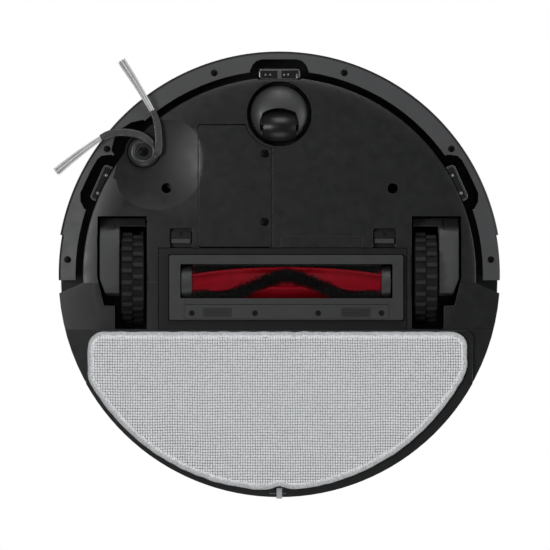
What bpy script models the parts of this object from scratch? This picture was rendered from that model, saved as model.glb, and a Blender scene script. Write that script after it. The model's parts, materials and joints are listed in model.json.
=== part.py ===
"""A robot vacuum cleaner with a mopping cloth, as the pieces it comes apart into.

+Z is up and -Y is the front, where the bumper is, so the machine's own right side is -X. The origin
is on the floor under the middle of the body. Sizes are in millimetres, and MM turns them into metres.
"""

import math

import bmesh
import bpy
from mathutils import Matrix, Vector

MM = 0.001
GAP = 0.4  # between neighbours that don't move against each other
OVER = 1.0  # how far a cutter runs past the face it cuts
SHARP = math.radians(40)  # faces that meet at more than this have a sharp edge

# Plan of the body: a circle whose two halves are pulled a little apart.
BODY_RADIUS = 175.0
FRONT_CENTRE_Y = -1.5
REAR_CENTRE_Y = 1.5
PLATE_RADIUS = 156.0  # the floor plate inside the bumper
WALL = 2.8
DRUM_RADIUS = PLATE_RADIUS - WALL - 0.3  # what stands inside the walls keeps within this
DISH_DRUM_RADIUS = 144.7  # and what thickens the plate keeps off its rolled rim

# Heights above the floor.
CLOTH_BOTTOM, CLOTH_TOP = 0.4, 4.4
BRACKET_BOTTOM, BRACKET_TOP = 4.8, 8.6
PLATE_BOTTOM, PLATE_TOP = 9.0, 12.0
REAR_BOTTOM = 8.95  # the rear half's floor lies a hair lower than the front's
BLOCK_BOTTOM = 11.37  # blocks that stand on the plate start inside its thickness
BASE_TOP = 30.0
FRAME_TOP = 77.0
COVER_BOTTOM, COVER_TOP = 77.4, 80.0
TURRET_TOP = 96.5
LIP_BOTTOM, LIP_TOP = 14.0, 16.6  # the bumper's flange

# Bumper. It is a little wider in front than at its two ends, and its flange rises outwards.
LIP_RADIUS, LIP_RISE = 161.5, 2.4
BUMPER_RADIUS, BUMPER_END_RADIUS, BUMPER_INNER_RADIUS = 176.5, 175.0, 173.0
BUMPER_TOP, BUMPER_STEP_Y = 76.6, -31.0
BUMPER_CHAMFER_IN, BUMPER_CHAMFER_UP = 1.2, 1.6
BUMPER_END_Y = 5.0
BUMPER_SCREWS = [(51.6, -159.4), (136.5, -99.2), (167.8, -11.4)]  # and mirrored

# Front caster.
CASTER_Y = -126.8
CASTER_WELL_RADIUS, CASTER_CUP_WALL = 25.7, 2.2
CASTER_AXLE_Y, CASTER_WHEEL_RADIUS = -116.8, 13.0

# Side brush.
SIDE_BRUSH = (-107.5, -96.9)
DISH_CENTRE, DISH_RADIUS, DISH_DEPTH = (-97.3, -89.1), 38.4, 4.4
DISH_WALL = 2.2
HUB_RADIUS = 12.4
ARM_TOP, ARM_BOTTOM = 7.8, 5.2
FRONT_ARM = [(-96.9, -104.8), (-96.0, -112.6), (-96.9, -120.7), (-100.0, -128.8)]
FRONT_TIP = (-125.5, -169.2)
OUTER_ARM = [(-112.4, -111.2), (-118.0, -112.0), (-126.0, -112.0), (-134.6, -110.8), (-142.9, -108.2)]
OUTER_TIP = (-177.0, -80.2)

# Drive wheels. Both sides are alike, and x is given for the left side, +X.
TYRE_INNER_X, TYRE_OUTER_X = 107.2, 125.3
AXLE_Y, AXLE_Z, TYRE_RADIUS = 1.8, 38.0, 38.0
PIVOT_Y, PIVOT_Z, PIN_RADIUS = -41.5, 30.0, 2.0
WELL_FRONT, WELL_REAR = -45.8, 43.6
WELL_SIDE = [(144.0, WELL_FRONT), (144.4, 1.8), (138.8, 24.9), (130.2, 25.2), (130.2, WELL_REAR)]
WELL = [(104.9, WELL_FRONT), *WELL_SIDE, (104.9, WELL_REAR)]
WELL_TOP = 72.0

# Main brush, its chamber and its cover.
ROLLER_Y, ROLLER_Z = 7.0, 19.2
ROLLER_CORE_RADIUS, ROLLER_FIN_RADIUS = 13.0, 16.9
ROLLER_FIRST_X, ROLLER_LAST_X = -68.7, 80.5
ROLLER_FINS = 6
ROLLER_TWIST = math.radians(62)  # how far a fin turns from the middle to an end
CHAMBER_LOW, CHAMBER_HIGH = (-95.7, -20.4, 9.8), (101.1, 44.9, 47.0)
CHAMBER_OPENING = ((-87.6, -15.4), (98.5, 37.0))
COVER_OPENING = ((-78.3, -7.8), (89.6, 19.2))
BRUSH_COVER_BOTTOM = 5.6
DUCT_LOW, DUCT_HIGH = (-38.0, 36.0, 24.0), (38.0, 48.5, 40.0)

# Latch recesses, as x ranges.
LATCHES = {"right": (-86.9, -69.1), "left": (74.2, 92.3)}

# Battery cover.
BATTERY_LOW, BATTERY_HIGH = (-64.4, -118.3), (-6.0, -21.4)
BATTERY_SCREWS = {"front": (-11.5, -95.4), "rear": (-11.6, -41.2)}

# Mop: the cloth keeps inside the bracket.
BRACKET_SIDE_X, BRACKET_FRONT_Y = 153.0, 44.4
CLOTH_SIDE_X, CLOTH_FRONT_Y = 149.8, 45.9
CLOTH_REAR_RADIUS = 168.0

# Rear module, which slides out backwards.
MODULE_HALF_WIDTH, MODULE_REAR_Y = 81.0, 185.0  # the second is past the body's rear edge
MODULE_FRONT_Y, TANK_FRONT_Y = 46.0, 118.4

BLOWER = (108.0, 80.0)
TURRET_CENTRE = (0.0, 40.0)
BUTTONS = {"power": (13.0, -112.0), "home": (-13.0, -112.0)}
CONTACT_ANGLE = math.radians(38)  # from straight behind, to each side

BLACK = (0.022, 0.022, 0.023, 1.0)
CHARCOAL = (0.060, 0.060, 0.062, 1.0)
GREY = (0.40, 0.40, 0.41, 1.0)
RED = (0.30, 0.002, 0.008, 1.0)
CLOTH_GREY = (0.52, 0.52, 0.52, 1.0)
GREEN = (0.02, 0.11, 0.05, 1.0)
STEEL = (0.55, 0.56, 0.58, 1.0)


def clear_scene():
    for obj in list(bpy.data.objects):
        bpy.data.objects.remove(obj)


def new_collection(name):
    made = bpy.data.collections.new(name)
    bpy.context.scene.collection.children.link(made)
    return made


clear_scene()
PARTS = new_collection("robot_vacuum")
CUTTERS = new_collection("cutters")
PARTS_MATERIALS = {}


# ---- shapes -------------------------------------------------------------------------------------

def shape(mesh):
    """A new tool shape, kept with the cutters until piece() takes it."""
    obj = bpy.data.objects.new(mesh.name, mesh)
    CUTTERS.objects.link(obj)
    obj.hide_render = True
    obj.display_type = "WIRE"
    return obj


def mesh_from(bm, name):
    mesh = bpy.data.meshes.new(name)
    bm.to_mesh(mesh)
    bm.free()
    return mesh


def box(low, high):
    bm = bmesh.new()
    bmesh.ops.create_cube(bm, size=1.0)
    for vertex in bm.verts:
        for i in range(3):
            vertex.co[i] = (high[i] if vertex.co[i] > 0 else low[i]) * MM
    return shape(mesh_from(bm, "box"))


def cylinder(centre, radius, low, high, axis="Z", sides=32):
    """A cylinder along an axis from low to high; centre gives the two other coordinates in order."""
    bm = bmesh.new()
    bmesh.ops.create_cone(
        bm, cap_ends=True, segments=sides, radius1=radius * MM, radius2=radius * MM, depth=(high - low) * MM
    )
    middle = (low + high) / 2
    if axis == "X":
        bm.transform(Matrix.Rotation(math.pi / 2, 4, "Y"))
        place = (middle, *centre)
    else:
        place = (*centre, middle)
    bm.transform(Matrix.Translation(Vector(place) * MM))
    return shape(mesh_from(bm, "cylinder"))


def turned(profile, centre, steps=64, axis="Z", closed=False):
    """Turns a profile of (radius, height) round an axis through centre."""
    points = [(r * MM, 0.0, z * MM) for r, z in profile]
    edges = [(i, i + 1) for i in range(len(points) - 1)]
    if closed:
        edges.append((len(points) - 1, 0))
    mesh = bpy.data.meshes.new("turned")
    mesh.from_pydata(points, edges, [])
    obj = shape(mesh)
    screw = obj.modifiers.new("turn", "SCREW")
    screw.steps = steps
    screw.render_steps = steps
    screw.use_merge_vertices = True
    screw.merge_threshold = 0.00001
    obj.location = Vector(centre) * MM
    if axis == "X":
        obj.rotation_euler = (0.0, math.pi / 2, 0.0)
    return obj


def as_mesh(obj, weld=0.00001):
    """Replaces a tool shape by its evaluated mesh, in world space, with its seams welded."""
    bpy.context.view_layer.update()
    evaluated = obj.evaluated_get(bpy.context.evaluated_depsgraph_get())
    mesh = bpy.data.meshes.new_from_object(evaluated)
    mesh.transform(obj.matrix_world)
    bpy.data.objects.remove(obj)
    bm = bmesh.new()
    bm.from_mesh(mesh)
    bmesh.ops.remove_doubles(bm, verts=bm.verts, dist=weld)
    bmesh.ops.recalc_face_normals(bm, faces=bm.faces)
    bm.to_mesh(mesh)
    bm.free()
    return shape(mesh)


def plate(outlines, low, high):
    """A flat plate from z low to high; outlines after the first are holes in it."""
    curve = bpy.data.curves.new("outline", "CURVE")
    curve.dimensions = "2D"
    curve.fill_mode = "BOTH"
    curve.render_resolution_u = 0
    curve.extrude = (high - low) / 2 * MM
    for outline in outlines:
        spline = curve.splines.new("POLY")
        spline.points.add(len(outline) - 1)
        for point, (x, y) in zip(spline.points, outline):
            point.co = (x * MM, y * MM, 0.0, 1.0)
        spline.use_cyclic_u = True
    obj = bpy.data.objects.new("outline", curve)
    CUTTERS.objects.link(obj)
    obj.location.z = (low + high) / 2 * MM
    return as_mesh(obj)


def standing_plate(outline, low, high):
    """A plate whose outline is in y and z, from x low to high."""
    obj = plate([outline], low, high)
    # Sends the outline's x to y, its y to z, and its thickness to x.
    obj.data.transform(Matrix(((0, 0, 1, 0), (1, 0, 0, 0), (0, 1, 0, 0), (0, 0, 0, 1))))
    return obj


def loft(sections):
    """A closed body through sections, each a ring of as many points in millimetres."""
    bm = bmesh.new()
    rings = [[bm.verts.new(Vector(p) * MM) for p in section] for section in sections]
    count = len(rings[0])
    for first, second in zip(rings, rings[1:]):
        for i in range(count):
            j = (i + 1) % count
            bm.faces.new((first[i], first[j], second[j], second[i]))
    bm.faces.new(rings[0])
    bm.faces.new(rings[-1])
    bmesh.ops.recalc_face_normals(bm, faces=bm.faces)
    return shape(mesh_from(bm, "loft"))


def rounded(obj, radius, chosen, segments=3):
    """Rounds the sharp edges that chosen(a, b) picks by their end points, in millimetres."""
    bm = bmesh.new()
    bm.from_mesh(obj.data)
    sharp = [e for e in bm.edges if e.calc_face_angle(0.0) > SHARP]
    edges = [e for e in sharp if chosen(e.verts[0].co / MM, e.verts[1].co / MM)]
    bmesh.ops.bevel(
        bm, geom=edges, offset=radius * MM, segments=segments, profile=0.5, affect="EDGES", clamp_overlap=True
    )
    bm.to_mesh(obj.data)
    bm.free()
    return obj


def at_height(z):
    """Picks the edges that lie at one height."""
    return lambda a, b: abs(a.z - z) < 0.01 and abs(b.z - z) < 0.01


def bevelled(obj, width, segments=2, angle=40):
    bevel = obj.modifiers.new("edges", "BEVEL")
    bevel.width = width * MM
    bevel.segments = segments
    bevel.limit_method = "ANGLE"
    bevel.angle_limit = math.radians(angle)
    return obj


def combine(obj, how, *tools):
    for tool in tools:
        boolean = obj.modifiers.new(how.lower(), "BOOLEAN")
        boolean.operation = how
        boolean.solver = "EXACT"
        boolean.object = tool
    return obj


def cut(obj, *tools):
    return combine(obj, "DIFFERENCE", *tools)


def join(obj, *tools):
    return combine(obj, "UNION", *tools)


def within(obj, tool):
    return combine(obj, "INTERSECT", tool)


def material(name, colour, roughness=0.5, metallic=0.0):
    if name not in PARTS_MATERIALS:
        made = bpy.data.materials.new(name)
        made.use_nodes = True
        surface = made.node_tree.nodes["Principled BSDF"]
        surface.inputs["Base Color"].default_value = colour
        surface.inputs["Roughness"].default_value = roughness
        surface.inputs["Metallic"].default_value = metallic
        PARTS_MATERIALS[name] = made
    return PARTS_MATERIALS[name]


def piece(name, obj, finish, origin=None):
    """Makes a shape one of the model's pieces. A moving piece has its origin on its joint's axis."""
    CUTTERS.objects.unlink(obj)
    PARTS.objects.link(obj)
    obj.name = name
    obj.data.name = name
    obj.hide_render = False
    obj.display_type = "TEXTURED"
    obj.data.materials.clear()
    obj.data.materials.append(finish)
    if origin:
        bpy.context.view_layer.update()
        shift = obj.matrix_world.inverted() @ (Vector(origin) * MM)
        obj.data.transform(Matrix.Translation(-shift))
        obj.location = Vector(origin) * MM
    return obj


# ---- outlines -----------------------------------------------------------------------------------

def arc(centre, radius, start, end, steps):
    """Points on a circle from start to end, in degrees anticlockwise from +X."""
    turns = [math.radians(start + (end - start) * i / steps) for i in range(steps + 1)]
    return [(centre[0] + radius * math.cos(t), centre[1] + radius * math.sin(t)) for t in turns]


def rectangle(low, high, corner=0.0, steps=3):
    """A rectangle with round corners."""
    if corner == 0.0:
        return [low, (high[0], low[1]), high, (low[0], high[1])]
    points = []
    for x, y, start in (
        (high[0] - corner, high[1] - corner, 0),
        (low[0] + corner, high[1] - corner, 90),
        (low[0] + corner, low[1] + corner, 180),
        (high[0] - corner, low[1] + corner, 270),
    ):
        points += arc((x, y), corner, start, start + 90, steps)
    return points


def grown(low, high, by):
    return tuple(v - by for v in low), tuple(v + by for v in high)


def mirrored(outline):
    return [(-x, y) for x, y in reversed(outline)]


def rear_outline(inset):
    """The wide rear half of the body, closed straight across behind the bumper."""
    radius = BODY_RADIUS - inset
    shoulder = [(PLATE_RADIUS, 7.0), (164.0, 11.0), (166.4, 11.5)]
    shoulder = [(x - inset, y + inset) for x, y in shoulder]
    first = math.degrees(math.asin((15.3 + inset - REAR_CENTRE_Y) / radius))
    rim = arc((0.0, REAR_CENTRE_Y), radius, first, 180 - first, 44)
    return shoulder + rim + mirrored(shoulder)


def body_outline(inset):
    """The body inside the bumper: the plate's circle in front, the wide half behind."""
    front = PLATE_RADIUS - inset
    start = 180 - math.degrees(math.asin((7.0 + inset) / front))
    return rear_outline(inset) + arc((0.0, 0.0), front, start, 540 - start, 48)[1:-1]


def whole_outline():
    front = arc((0.0, FRONT_CENTRE_Y), BODY_RADIUS, 180, 360, 46)
    return arc((0.0, REAR_CENTRE_Y), BODY_RADIUS, 0, 180, 46) + front


def ribbon(path, widths):
    """The outline of a strip along a path, with its width at each point."""
    left, right = [], []
    for i, (x, y) in enumerate(path):
        ahead, behind = path[min(i + 1, len(path) - 1)], path[max(i - 1, 0)]
        along = Vector((ahead[0] - behind[0], ahead[1] - behind[1])).normalized()
        reach = widths[i] / 2
        left.append((x - along.y * reach, y + along.x * reach))
        right.append((x + along.y * reach, y - along.x * reach))
    return left + right[::-1]


def sided(outline, side):
    """An outline given for the left side, or mirrored for the right."""
    return outline if side > 0 else mirrored(outline)


def x_range(low, high, side):
    return (low, high) if side > 0 else (-high, -low)


SIDES = {"right": -1, "left": 1}


# ---- body ---------------------------------------------------------------------------------------

def drum(radius=DRUM_RADIUS):
    return cylinder((0.0, 0.0), radius, PLATE_BOTTOM - OVER, COVER_TOP, sides=96)


def dish_cutter():
    """The shallow bowl round the side brush."""
    rings = 4
    profile = [(0.0, PLATE_BOTTOM + DISH_DEPTH)]
    for i in range(1, rings + 1):
        share = i / rings
        profile.append((DISH_RADIUS * share, PLATE_BOTTOM + DISH_DEPTH * (1 - share**2)))
    profile += [(DISH_RADIUS, PLATE_BOTTOM - 2 * OVER), (0.0, PLATE_BOTTOM - 2 * OVER)]
    return turned(profile, (*DISH_CENTRE, 0.0), 44)


def plate_disc():
    """The floor plate's disc, whose rim rolls up towards the bumper."""
    rim = [(156.0, 11.9), (155.2, 10.6), (152.0, 10.0), (147.0, 9.45), (142.0, 9.12), (136.0, 9.0)]
    top = BASE_TOP - 0.05
    return turned([(0.0, top), (PLATE_RADIUS, top), *rim, (0.0, PLATE_BOTTOM)], (0, 0, 0), 96)


def plate_hollow():
    """What the front half holds inside: it follows the rim at the plate's thickness."""
    inner = PLATE_RADIUS - WALL
    top = BASE_TOP + OVER
    rim = [(inner, 20.0), (150.0, 16.0), (143.0, 13.4), (131.0, PLATE_TOP)]
    return turned([(0.0, top), (inner, top), *rim, (0.0, PLATE_TOP)], (0, 0, 0), 96)


def side_slope():
    """The space under the rear half's lower rim, which rises towards its edge in front of the mop."""
    profile = [(144.0, 8.6), (178.0, 11.4), (178.0, 7.0), (144.0, 7.0)]
    ring = turned(profile, (0.0, REAR_CENTRE_Y, 0.0), 96, closed=True)
    return within(ring, box((-200.0, 5.0, 5.0), (200.0, BRACKET_FRONT_Y - 0.5, 20.0)))


def pin_bore(low, high, side):
    """The hole that a suspension pin goes through, with room to turn."""
    return cylinder((PIVOT_Y, PIVOT_Z), PIN_RADIUS + 0.3, *x_range(low, high, side), axis="X", sides=16)


def wheel_well(side):
    """The block that a drive wheel's well is cut from, and the space inside it."""
    front, rear = WELL_FRONT - 2.0, WELL_REAR + 2.0
    outer = [(102.9, front), (146.2, front), (146.6, 2.6), (141.0, 27.2), (132.2, 27.2)]
    outer += [(132.2, rear), (102.9, rear)]
    block = within(plate([sided(outer, side)], BLOCK_BOTTOM, WELL_TOP), drum())
    space = plate([sided(WELL, side)], PLATE_BOTTOM - OVER, WELL_TOP + OVER)
    return block, space


def latch_pocket(x_low, x_high):
    grow = 1.5
    block = box((x_low - grow, -37.7, PLATE_BOTTOM), (x_high + grow, -21.0, 16.5))
    space = plate([rectangle((x_low, -36.2), (x_high, -19.0), 1.6)], PLATE_BOTTOM - OVER, 15.0)
    return block, space


def battery_opening(grow):
    low, high = grown(BATTERY_LOW, BATTERY_HIGH, grow)
    return plate([rectangle(low, high, 2.0)], PLATE_BOTTOM - OVER, PLATE_TOP + OVER)


def chassis_base():
    rear_half = rounded(plate([rear_outline(0.0)], REAR_BOTTOM, BASE_TOP), 2.5, rim_edge)
    cut(rear_half, side_slope())
    base = join(plate_disc(), rear_half)
    cut(base, plate_hollow(), plate([rear_outline(WALL)], PLATE_TOP, BASE_TOP + OVER))
    cut(base, battery_opening(GAP / 2))
    cup_radius = CASTER_WELL_RADIUS + CASTER_CUP_WALL
    caster_cup = within(cylinder((0.0, CASTER_Y), cup_radius, PLATE_BOTTOM, 31.4, sides=40), drum())
    dish_block = cylinder(DISH_CENTRE, DISH_RADIUS + DISH_WALL, BLOCK_BOTTOM, 17.5, sides=40)
    within(dish_block, drum(DISH_DRUM_RADIUS))
    brush_boss = cylinder(SIDE_BRUSH, HUB_RADIUS + 2.5, 9.6, 22.2, sides=32)
    join(base, caster_cup, dish_block, brush_boss)
    spaces = []
    for side in SIDES.values():
        block, space = wheel_well(side)
        join(base, block)
        spaces.append(space)
        spaces.append(pin_bore(100.0, 147.6, side))
    for x_low, x_high in LATCHES.values():
        block, space = latch_pocket(x_low, x_high)
        join(base, block)
        spaces.append(space)
    below = PLATE_BOTTOM - OVER
    spaces += [
        cylinder((0.0, CASTER_Y), CASTER_WELL_RADIUS, below, 29.4, sides=40),
        cylinder((0.0, CASTER_Y), 5.4, below, 33.0, sides=16),
        dish_cutter(),
        cylinder(SIDE_BRUSH, HUB_RADIUS + 0.8, below, 19.0, sides=32),
        cylinder(SIDE_BRUSH, 4.5, below, 23.0, sides=16),
        box((-96.1, -20.8, below), (101.5, 45.3, BASE_TOP + OVER)),
        box((-17.2, -170.0, below), (17.2, -154.0, BASE_TOP + OVER)),
        plate([rectangle((1.5, -29.8), (65.9, -19.0), 2.0)], below, PLATE_BOTTOM + 0.4),
        cylinder((-89.3, -68.1), 4.1, below, 18.5, sides=16),
        cylinder((89.8, -67.8), 4.1, below, PLATE_TOP + OVER, sides=16),
        module_opening(PLATE_TOP + GAP, BASE_TOP + OVER),
    ]
    spaces += [contact_block(side, 1.4, 0.3) for side in SIDES.values()]
    cut(base, *spaces)
    piece("chassis_base", base, material("matte_black_plastic", BLACK, 0.62))


def module_opening(low, high):
    """The way out of the rear wall for the module that holds the dustbin and the tank."""
    return box((-MODULE_HALF_WIDTH, 120.0, low), (MODULE_HALF_WIDTH, MODULE_REAR_Y, high))


def rim_edge(a, b):
    """The rear half's lower edge, apart from the straight line that joins the disc."""
    return at_height(REAR_BOTTOM)(a, b) and min(a.y, b.y) > 11.2


def contact_block(side, depth, grow):
    """A charging contact's place in the rear wall: a thin block turned to face outwards."""
    half_width, low, high = 11.0 + grow, 15.0 - grow, 25.0 + grow
    obj = box((-half_width, -depth, low), (half_width, 4.0 * grow, high))
    turn = Matrix.Rotation(-side * CONTACT_ANGLE, 4, "Z")
    reach = BODY_RADIUS - 0.6
    x, y = side * reach * math.sin(CONTACT_ANGLE), REAR_CENTRE_Y + reach * math.cos(CONTACT_ANGLE)
    obj.data.transform(Matrix.Translation(Vector((x, y, 0.0)) * MM) @ turn)
    return obj


def charging_contacts():
    for name, side in SIDES.items():
        contact = contact_block(side, 1.0, 0.0)
        piece(f"charging_contact_{name}", contact, material("plated_contact", STEEL, 0.3, 1.0))


def side_frame():
    frame = plate([body_outline(0.0), body_outline(WALL)], BASE_TOP + 0.3, FRAME_TOP)
    cut(frame, module_opening(BASE_TOP - OVER, 67.0))
    piece("side_frame", frame, material("matte_black_plastic", BLACK, 0.62))


def top_cover():
    cover = plate([whole_outline()], COVER_BOTTOM, COVER_TOP)
    rounded(cover, 1.6, at_height(COVER_TOP))
    cut(cover, cylinder(TURRET_CENTRE, 38.4, COVER_BOTTOM - OVER, COVER_TOP + OVER, sides=40))
    for place in BUTTONS.values():
        cut(cover, cylinder(place, 7.4, COVER_BOTTOM - OVER, COVER_TOP + OVER, sides=24))
    piece("top_cover", cover, material("satin_black_plastic", BLACK, 0.4))


def buttons():
    for name, (x, y) in BUTTONS.items():
        profile = [(0.0, 80.8), (6.2, 80.7), (7.0, 80.2), (7.0, 76.4), (0.0, 76.4)]
        button = turned(profile, (x, y, 0.0), 20)
        piece(f"{name}_button", button, material("satin_black_plastic", BLACK, 0.4), (x, y, 76.4))


# ---- bumper -------------------------------------------------------------------------------------

def bumper_skin(radius):
    """The bumper's outer profile from its top edge down to the flange's outer edge."""
    edge = LIP_BOTTOM + LIP_RISE
    return [
        (radius - 0.9, BUMPER_TOP),
        (radius, BUMPER_TOP - 1.2),
        (radius, edge + BUMPER_CHAMFER_UP),
        (radius - BUMPER_CHAMFER_IN, edge),
    ]


def bumper_end_cutter():
    """Takes the skin of the two ends back to their smaller radius."""
    top, upper, lower, bottom = bumper_skin(BUMPER_END_RADIUS)
    above = (top[0] - OVER, top[1] + OVER)
    below = (bottom[0] - BUMPER_CHAMFER_IN, bottom[1] - BUMPER_CHAMFER_UP)
    reach = BUMPER_RADIUS + 4 * OVER
    profile = [above, top, upper, lower, bottom, below, (reach, below[1]), (reach, above[1])]
    ring = turned(profile, (0.0, 0.0, 0.0), 96, closed=True)
    return within(ring, box((-200.0, BUMPER_STEP_Y, 0.0), (200.0, BUMPER_END_Y + 4 * OVER, 90.0)))


def bumper():
    profile = [
        (BUMPER_INNER_RADIUS, BUMPER_TOP),
        *bumper_skin(BUMPER_RADIUS),
        (LIP_RADIUS, LIP_BOTTOM),
        (LIP_RADIUS, LIP_TOP),
        (BUMPER_INNER_RADIUS, LIP_TOP + LIP_RISE),
    ]
    shell = turned(profile, (0.0, 0.0, 0.0), 96, closed=True)
    cut(shell, bumper_end_cutter())
    cut(shell, box((-200.0, BUMPER_END_Y, 0.0), (200.0, 200.0, 90.0)))
    low, high = LIP_BOTTOM - OVER, LIP_TOP + LIP_RISE + OVER
    front_notch = [(23.2, -150.0), (23.2, -161.0), (21.2, -165.6), (18.0, -168.9), (13.7, -170.2)]
    side_notch = [(141.0, -48.0), (154.5, -51.5), (157.6, -57.5), (157.7, -64.2), (149.8, -81.4)]
    side_notch += [(144.6, -90.6), (141.3, -93.6), (136.5, -94.4), (132.5, -94.4), (126.0, -88.0)]
    brush_notch = [(-101.0, -112.0), (-107.7, -122.3), (-117.4, -120.2), (-125.4, -115.0), (-130.8, -107.7)]
    brush_notch += [(-133.1, -98.0), (-126.0, -88.0)]
    cut(shell, plate([front_notch + mirrored(front_notch)], low, high))
    cut(shell, plate([side_notch], low, high), plate([mirrored(side_notch)], low, high))
    cut(shell, plate([brush_notch], low, high))
    for x, y in BUMPER_SCREWS:
        for sign in (-1, 1):
            cut(shell, cylinder((sign * x, y), 2.7, low, LIP_BOTTOM + 3.0, sides=16))
    piece("bumper_shell", shell, material("charcoal_plastic", CHARCOAL, 0.45), (0.0, 0.0, LIP_BOTTOM))


def cliff_sensors():
    finish = material("smoked_lens", BLACK, 0.12)
    front = bevelled(box((-17.0, -163.0, 11.6), (17.0, -154.3, 24.0)), 2.0)
    piece("cliff_sensor_front", front, finish)
    for name, side in SIDES.items():
        lens = plate([rectangle((-4.75, -15.0), (4.75, 15.0), 3.2)], 12.2, 24.0)
        turn = Matrix.Rotation(math.radians(-side * 24.0), 4, "Z")
        lens.data.transform(Matrix.Translation(Vector((side * 140.2, -71.7, 0.0)) * MM) @ turn)
        cut(lens, cylinder((0.0, 0.0), PLATE_RADIUS + GAP, 0.0, 40.0, sides=96))
        piece(f"cliff_sensor_{name}", lens, finish)


# ---- battery and electronics --------------------------------------------------------------------

def battery():
    low, high = grown(BATTERY_LOW, BATTERY_HIGH, -GAP / 2)
    cover = plate([rectangle(low, high, 2.0)], PLATE_BOTTOM, PLATE_TOP - 0.6)
    cut(cover, cylinder((0.0, CASTER_Y), CASTER_WELL_RADIUS + CASTER_CUP_WALL + GAP, 0.0, 20.0, sides=40))
    dish_clearance = cylinder(DISH_CENTRE, DISH_RADIUS + DISH_WALL + GAP, PLATE_TOP - 1.4, 20.0, sides=40)
    cut(cover, dish_cutter(), dish_clearance)
    for name, place in BATTERY_SCREWS.items():
        cut(cover, cylinder(place, 3.3, 0.0, 20.0, sides=16))
        profile = [(0.0, 15.0), (1.5, 15.0), (1.5, 11.2), (3.0, 11.2), (3.0, 10.3), (2.4, 9.7), (0.0, 9.6)]
        screw = turned(profile, (*place, 0.0), 16)
        piece(f"battery_cover_screw_{name}", screw, material("black_screw", BLACK, 0.35, 1.0))
    piece("battery_cover", cover, material("matte_black_plastic", BLACK, 0.62))
    pack = bevelled(box((-63.0, -102.0, 18.0), (-16.0, -26.0, 39.4)), 1.5)
    piece("battery_pack", pack, material("battery_wrap", GREEN, 0.4))


def main_board():
    board = box((-60.0, -110.0, 50.0), (60.0, -24.0, 51.6))
    for x, y, half in ((-30.0, -70.0, 9.0), (10.0, -60.0, 12.0), (36.0, -88.0, 7.0)):
        join(board, box((x - half, y - half, 51.0), (x + half, y + half, 53.4)))
    piece("main_board", board, material("circuit_board", GREEN, 0.5))


# ---- caster -------------------------------------------------------------------------------------

def caster():
    axis = (0.0, CASTER_Y, 0.0)
    profile = [(0.0, 38.0), (5.0, 38.0), (5.0, 29.0), (22.0, 29.0), (22.8, 27.0), (22.8, 15.0)]
    profile += [(22.0, 12.4), (19.8, 9.8), (16.0, 7.6), (11.0, 6.2), (5.6, 5.4), (0.0, 5.2)]
    swivel = turned(profile, axis, 40)
    slot = plate([rectangle((-13.5, -130.6), (13.5, -98.0), 0.8)], 0.0, 27.0)
    bore = cylinder((CASTER_AXLE_Y, CASTER_WHEEL_RADIUS), 1.9, -30.0, 30.0, axis="X", sides=16)
    cut(swivel, slot, bore)
    piece("caster_swivel", swivel, material("satin_black_plastic", BLACK, 0.4), (0.0, CASTER_Y, 5.2))
    wheel_axis = (0.0, CASTER_AXLE_Y, CASTER_WHEEL_RADIUS)
    half, steps = 13.0, 6
    barrel = []
    for i in range(steps + 1):
        x = half - 2 * half * i / steps
        barrel.append((CASTER_WHEEL_RADIUS - 2.6 * (x / half) ** 2, x))
    profile = [(1.9, half), *barrel, (1.9, -half)]
    wheel = turned(profile, wheel_axis, 32, axis="X", closed=True)
    piece("caster_wheel", wheel, material("gloss_black_rubber", BLACK, 0.2), wheel_axis)
    axle = cylinder((CASTER_AXLE_Y, CASTER_WHEEL_RADIUS), 1.5, -17.0, 17.0, axis="X", sides=16)
    piece("caster_axle", axle, material("bright_steel", STEEL, 0.25, 1.0))


# ---- side brush ---------------------------------------------------------------------------------

def side_brush():
    axis = (*SIDE_BRUSH, 0.0)
    profile = [(0.0, 18.6), (4.0, 18.6), (4.0, 14.0), (HUB_RADIUS, 14.0), (HUB_RADIUS, 9.6), (11.6, 7.8)]
    profile += [(9.4, 6.6), (6.6, 6.1), (4.4, 6.1), (4.0, 6.5), (4.0, 8.6), (0.0, 8.6)]
    hub = turned(profile, axis, 28)
    piece("side_brush_hub", hub, material("satin_black_plastic", BLACK, 0.4), axis)
    screw = turned([(0.0, 8.2), (3.6, 8.2), (3.6, 7.3), (2.8, 6.9), (0.0, 6.8)], axis, 16)
    piece("side_brush_screw", screw, material("black_screw", BLACK, 0.35, 1.0), axis)
    for name, path, tip in (("front", FRONT_ARM, FRONT_TIP), ("outer", OUTER_ARM, OUTER_TIP)):
        arm = plate([ribbon(path, [6.0] * len(path))], ARM_BOTTOM, ARM_TOP)
        piece(f"side_brush_arm_{name}", arm, material("grey_rubber", GREY, 0.6), axis)
        bristles = bristle_bundle(path, tip)
        piece(f"side_brush_bristles_{name}", bristles, material("nylon_bristle", GREY, 0.5), axis)
    motor = cylinder(SIDE_BRUSH, 6.4, 22.6, 40.0, sides=16)
    body = box((-4.0, -8.0, 23.2), (40.0, 8.0, 44.0))
    inwards = math.atan2(-SIDE_BRUSH[1], -SIDE_BRUSH[0])
    body.data.transform(Matrix.Translation(Vector(axis) * MM) @ Matrix.Rotation(inwards, 4, "Z"))
    piece("side_brush_gearbox", join(motor, body), material("motor_housing", CHARCOAL, 0.5))


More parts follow.
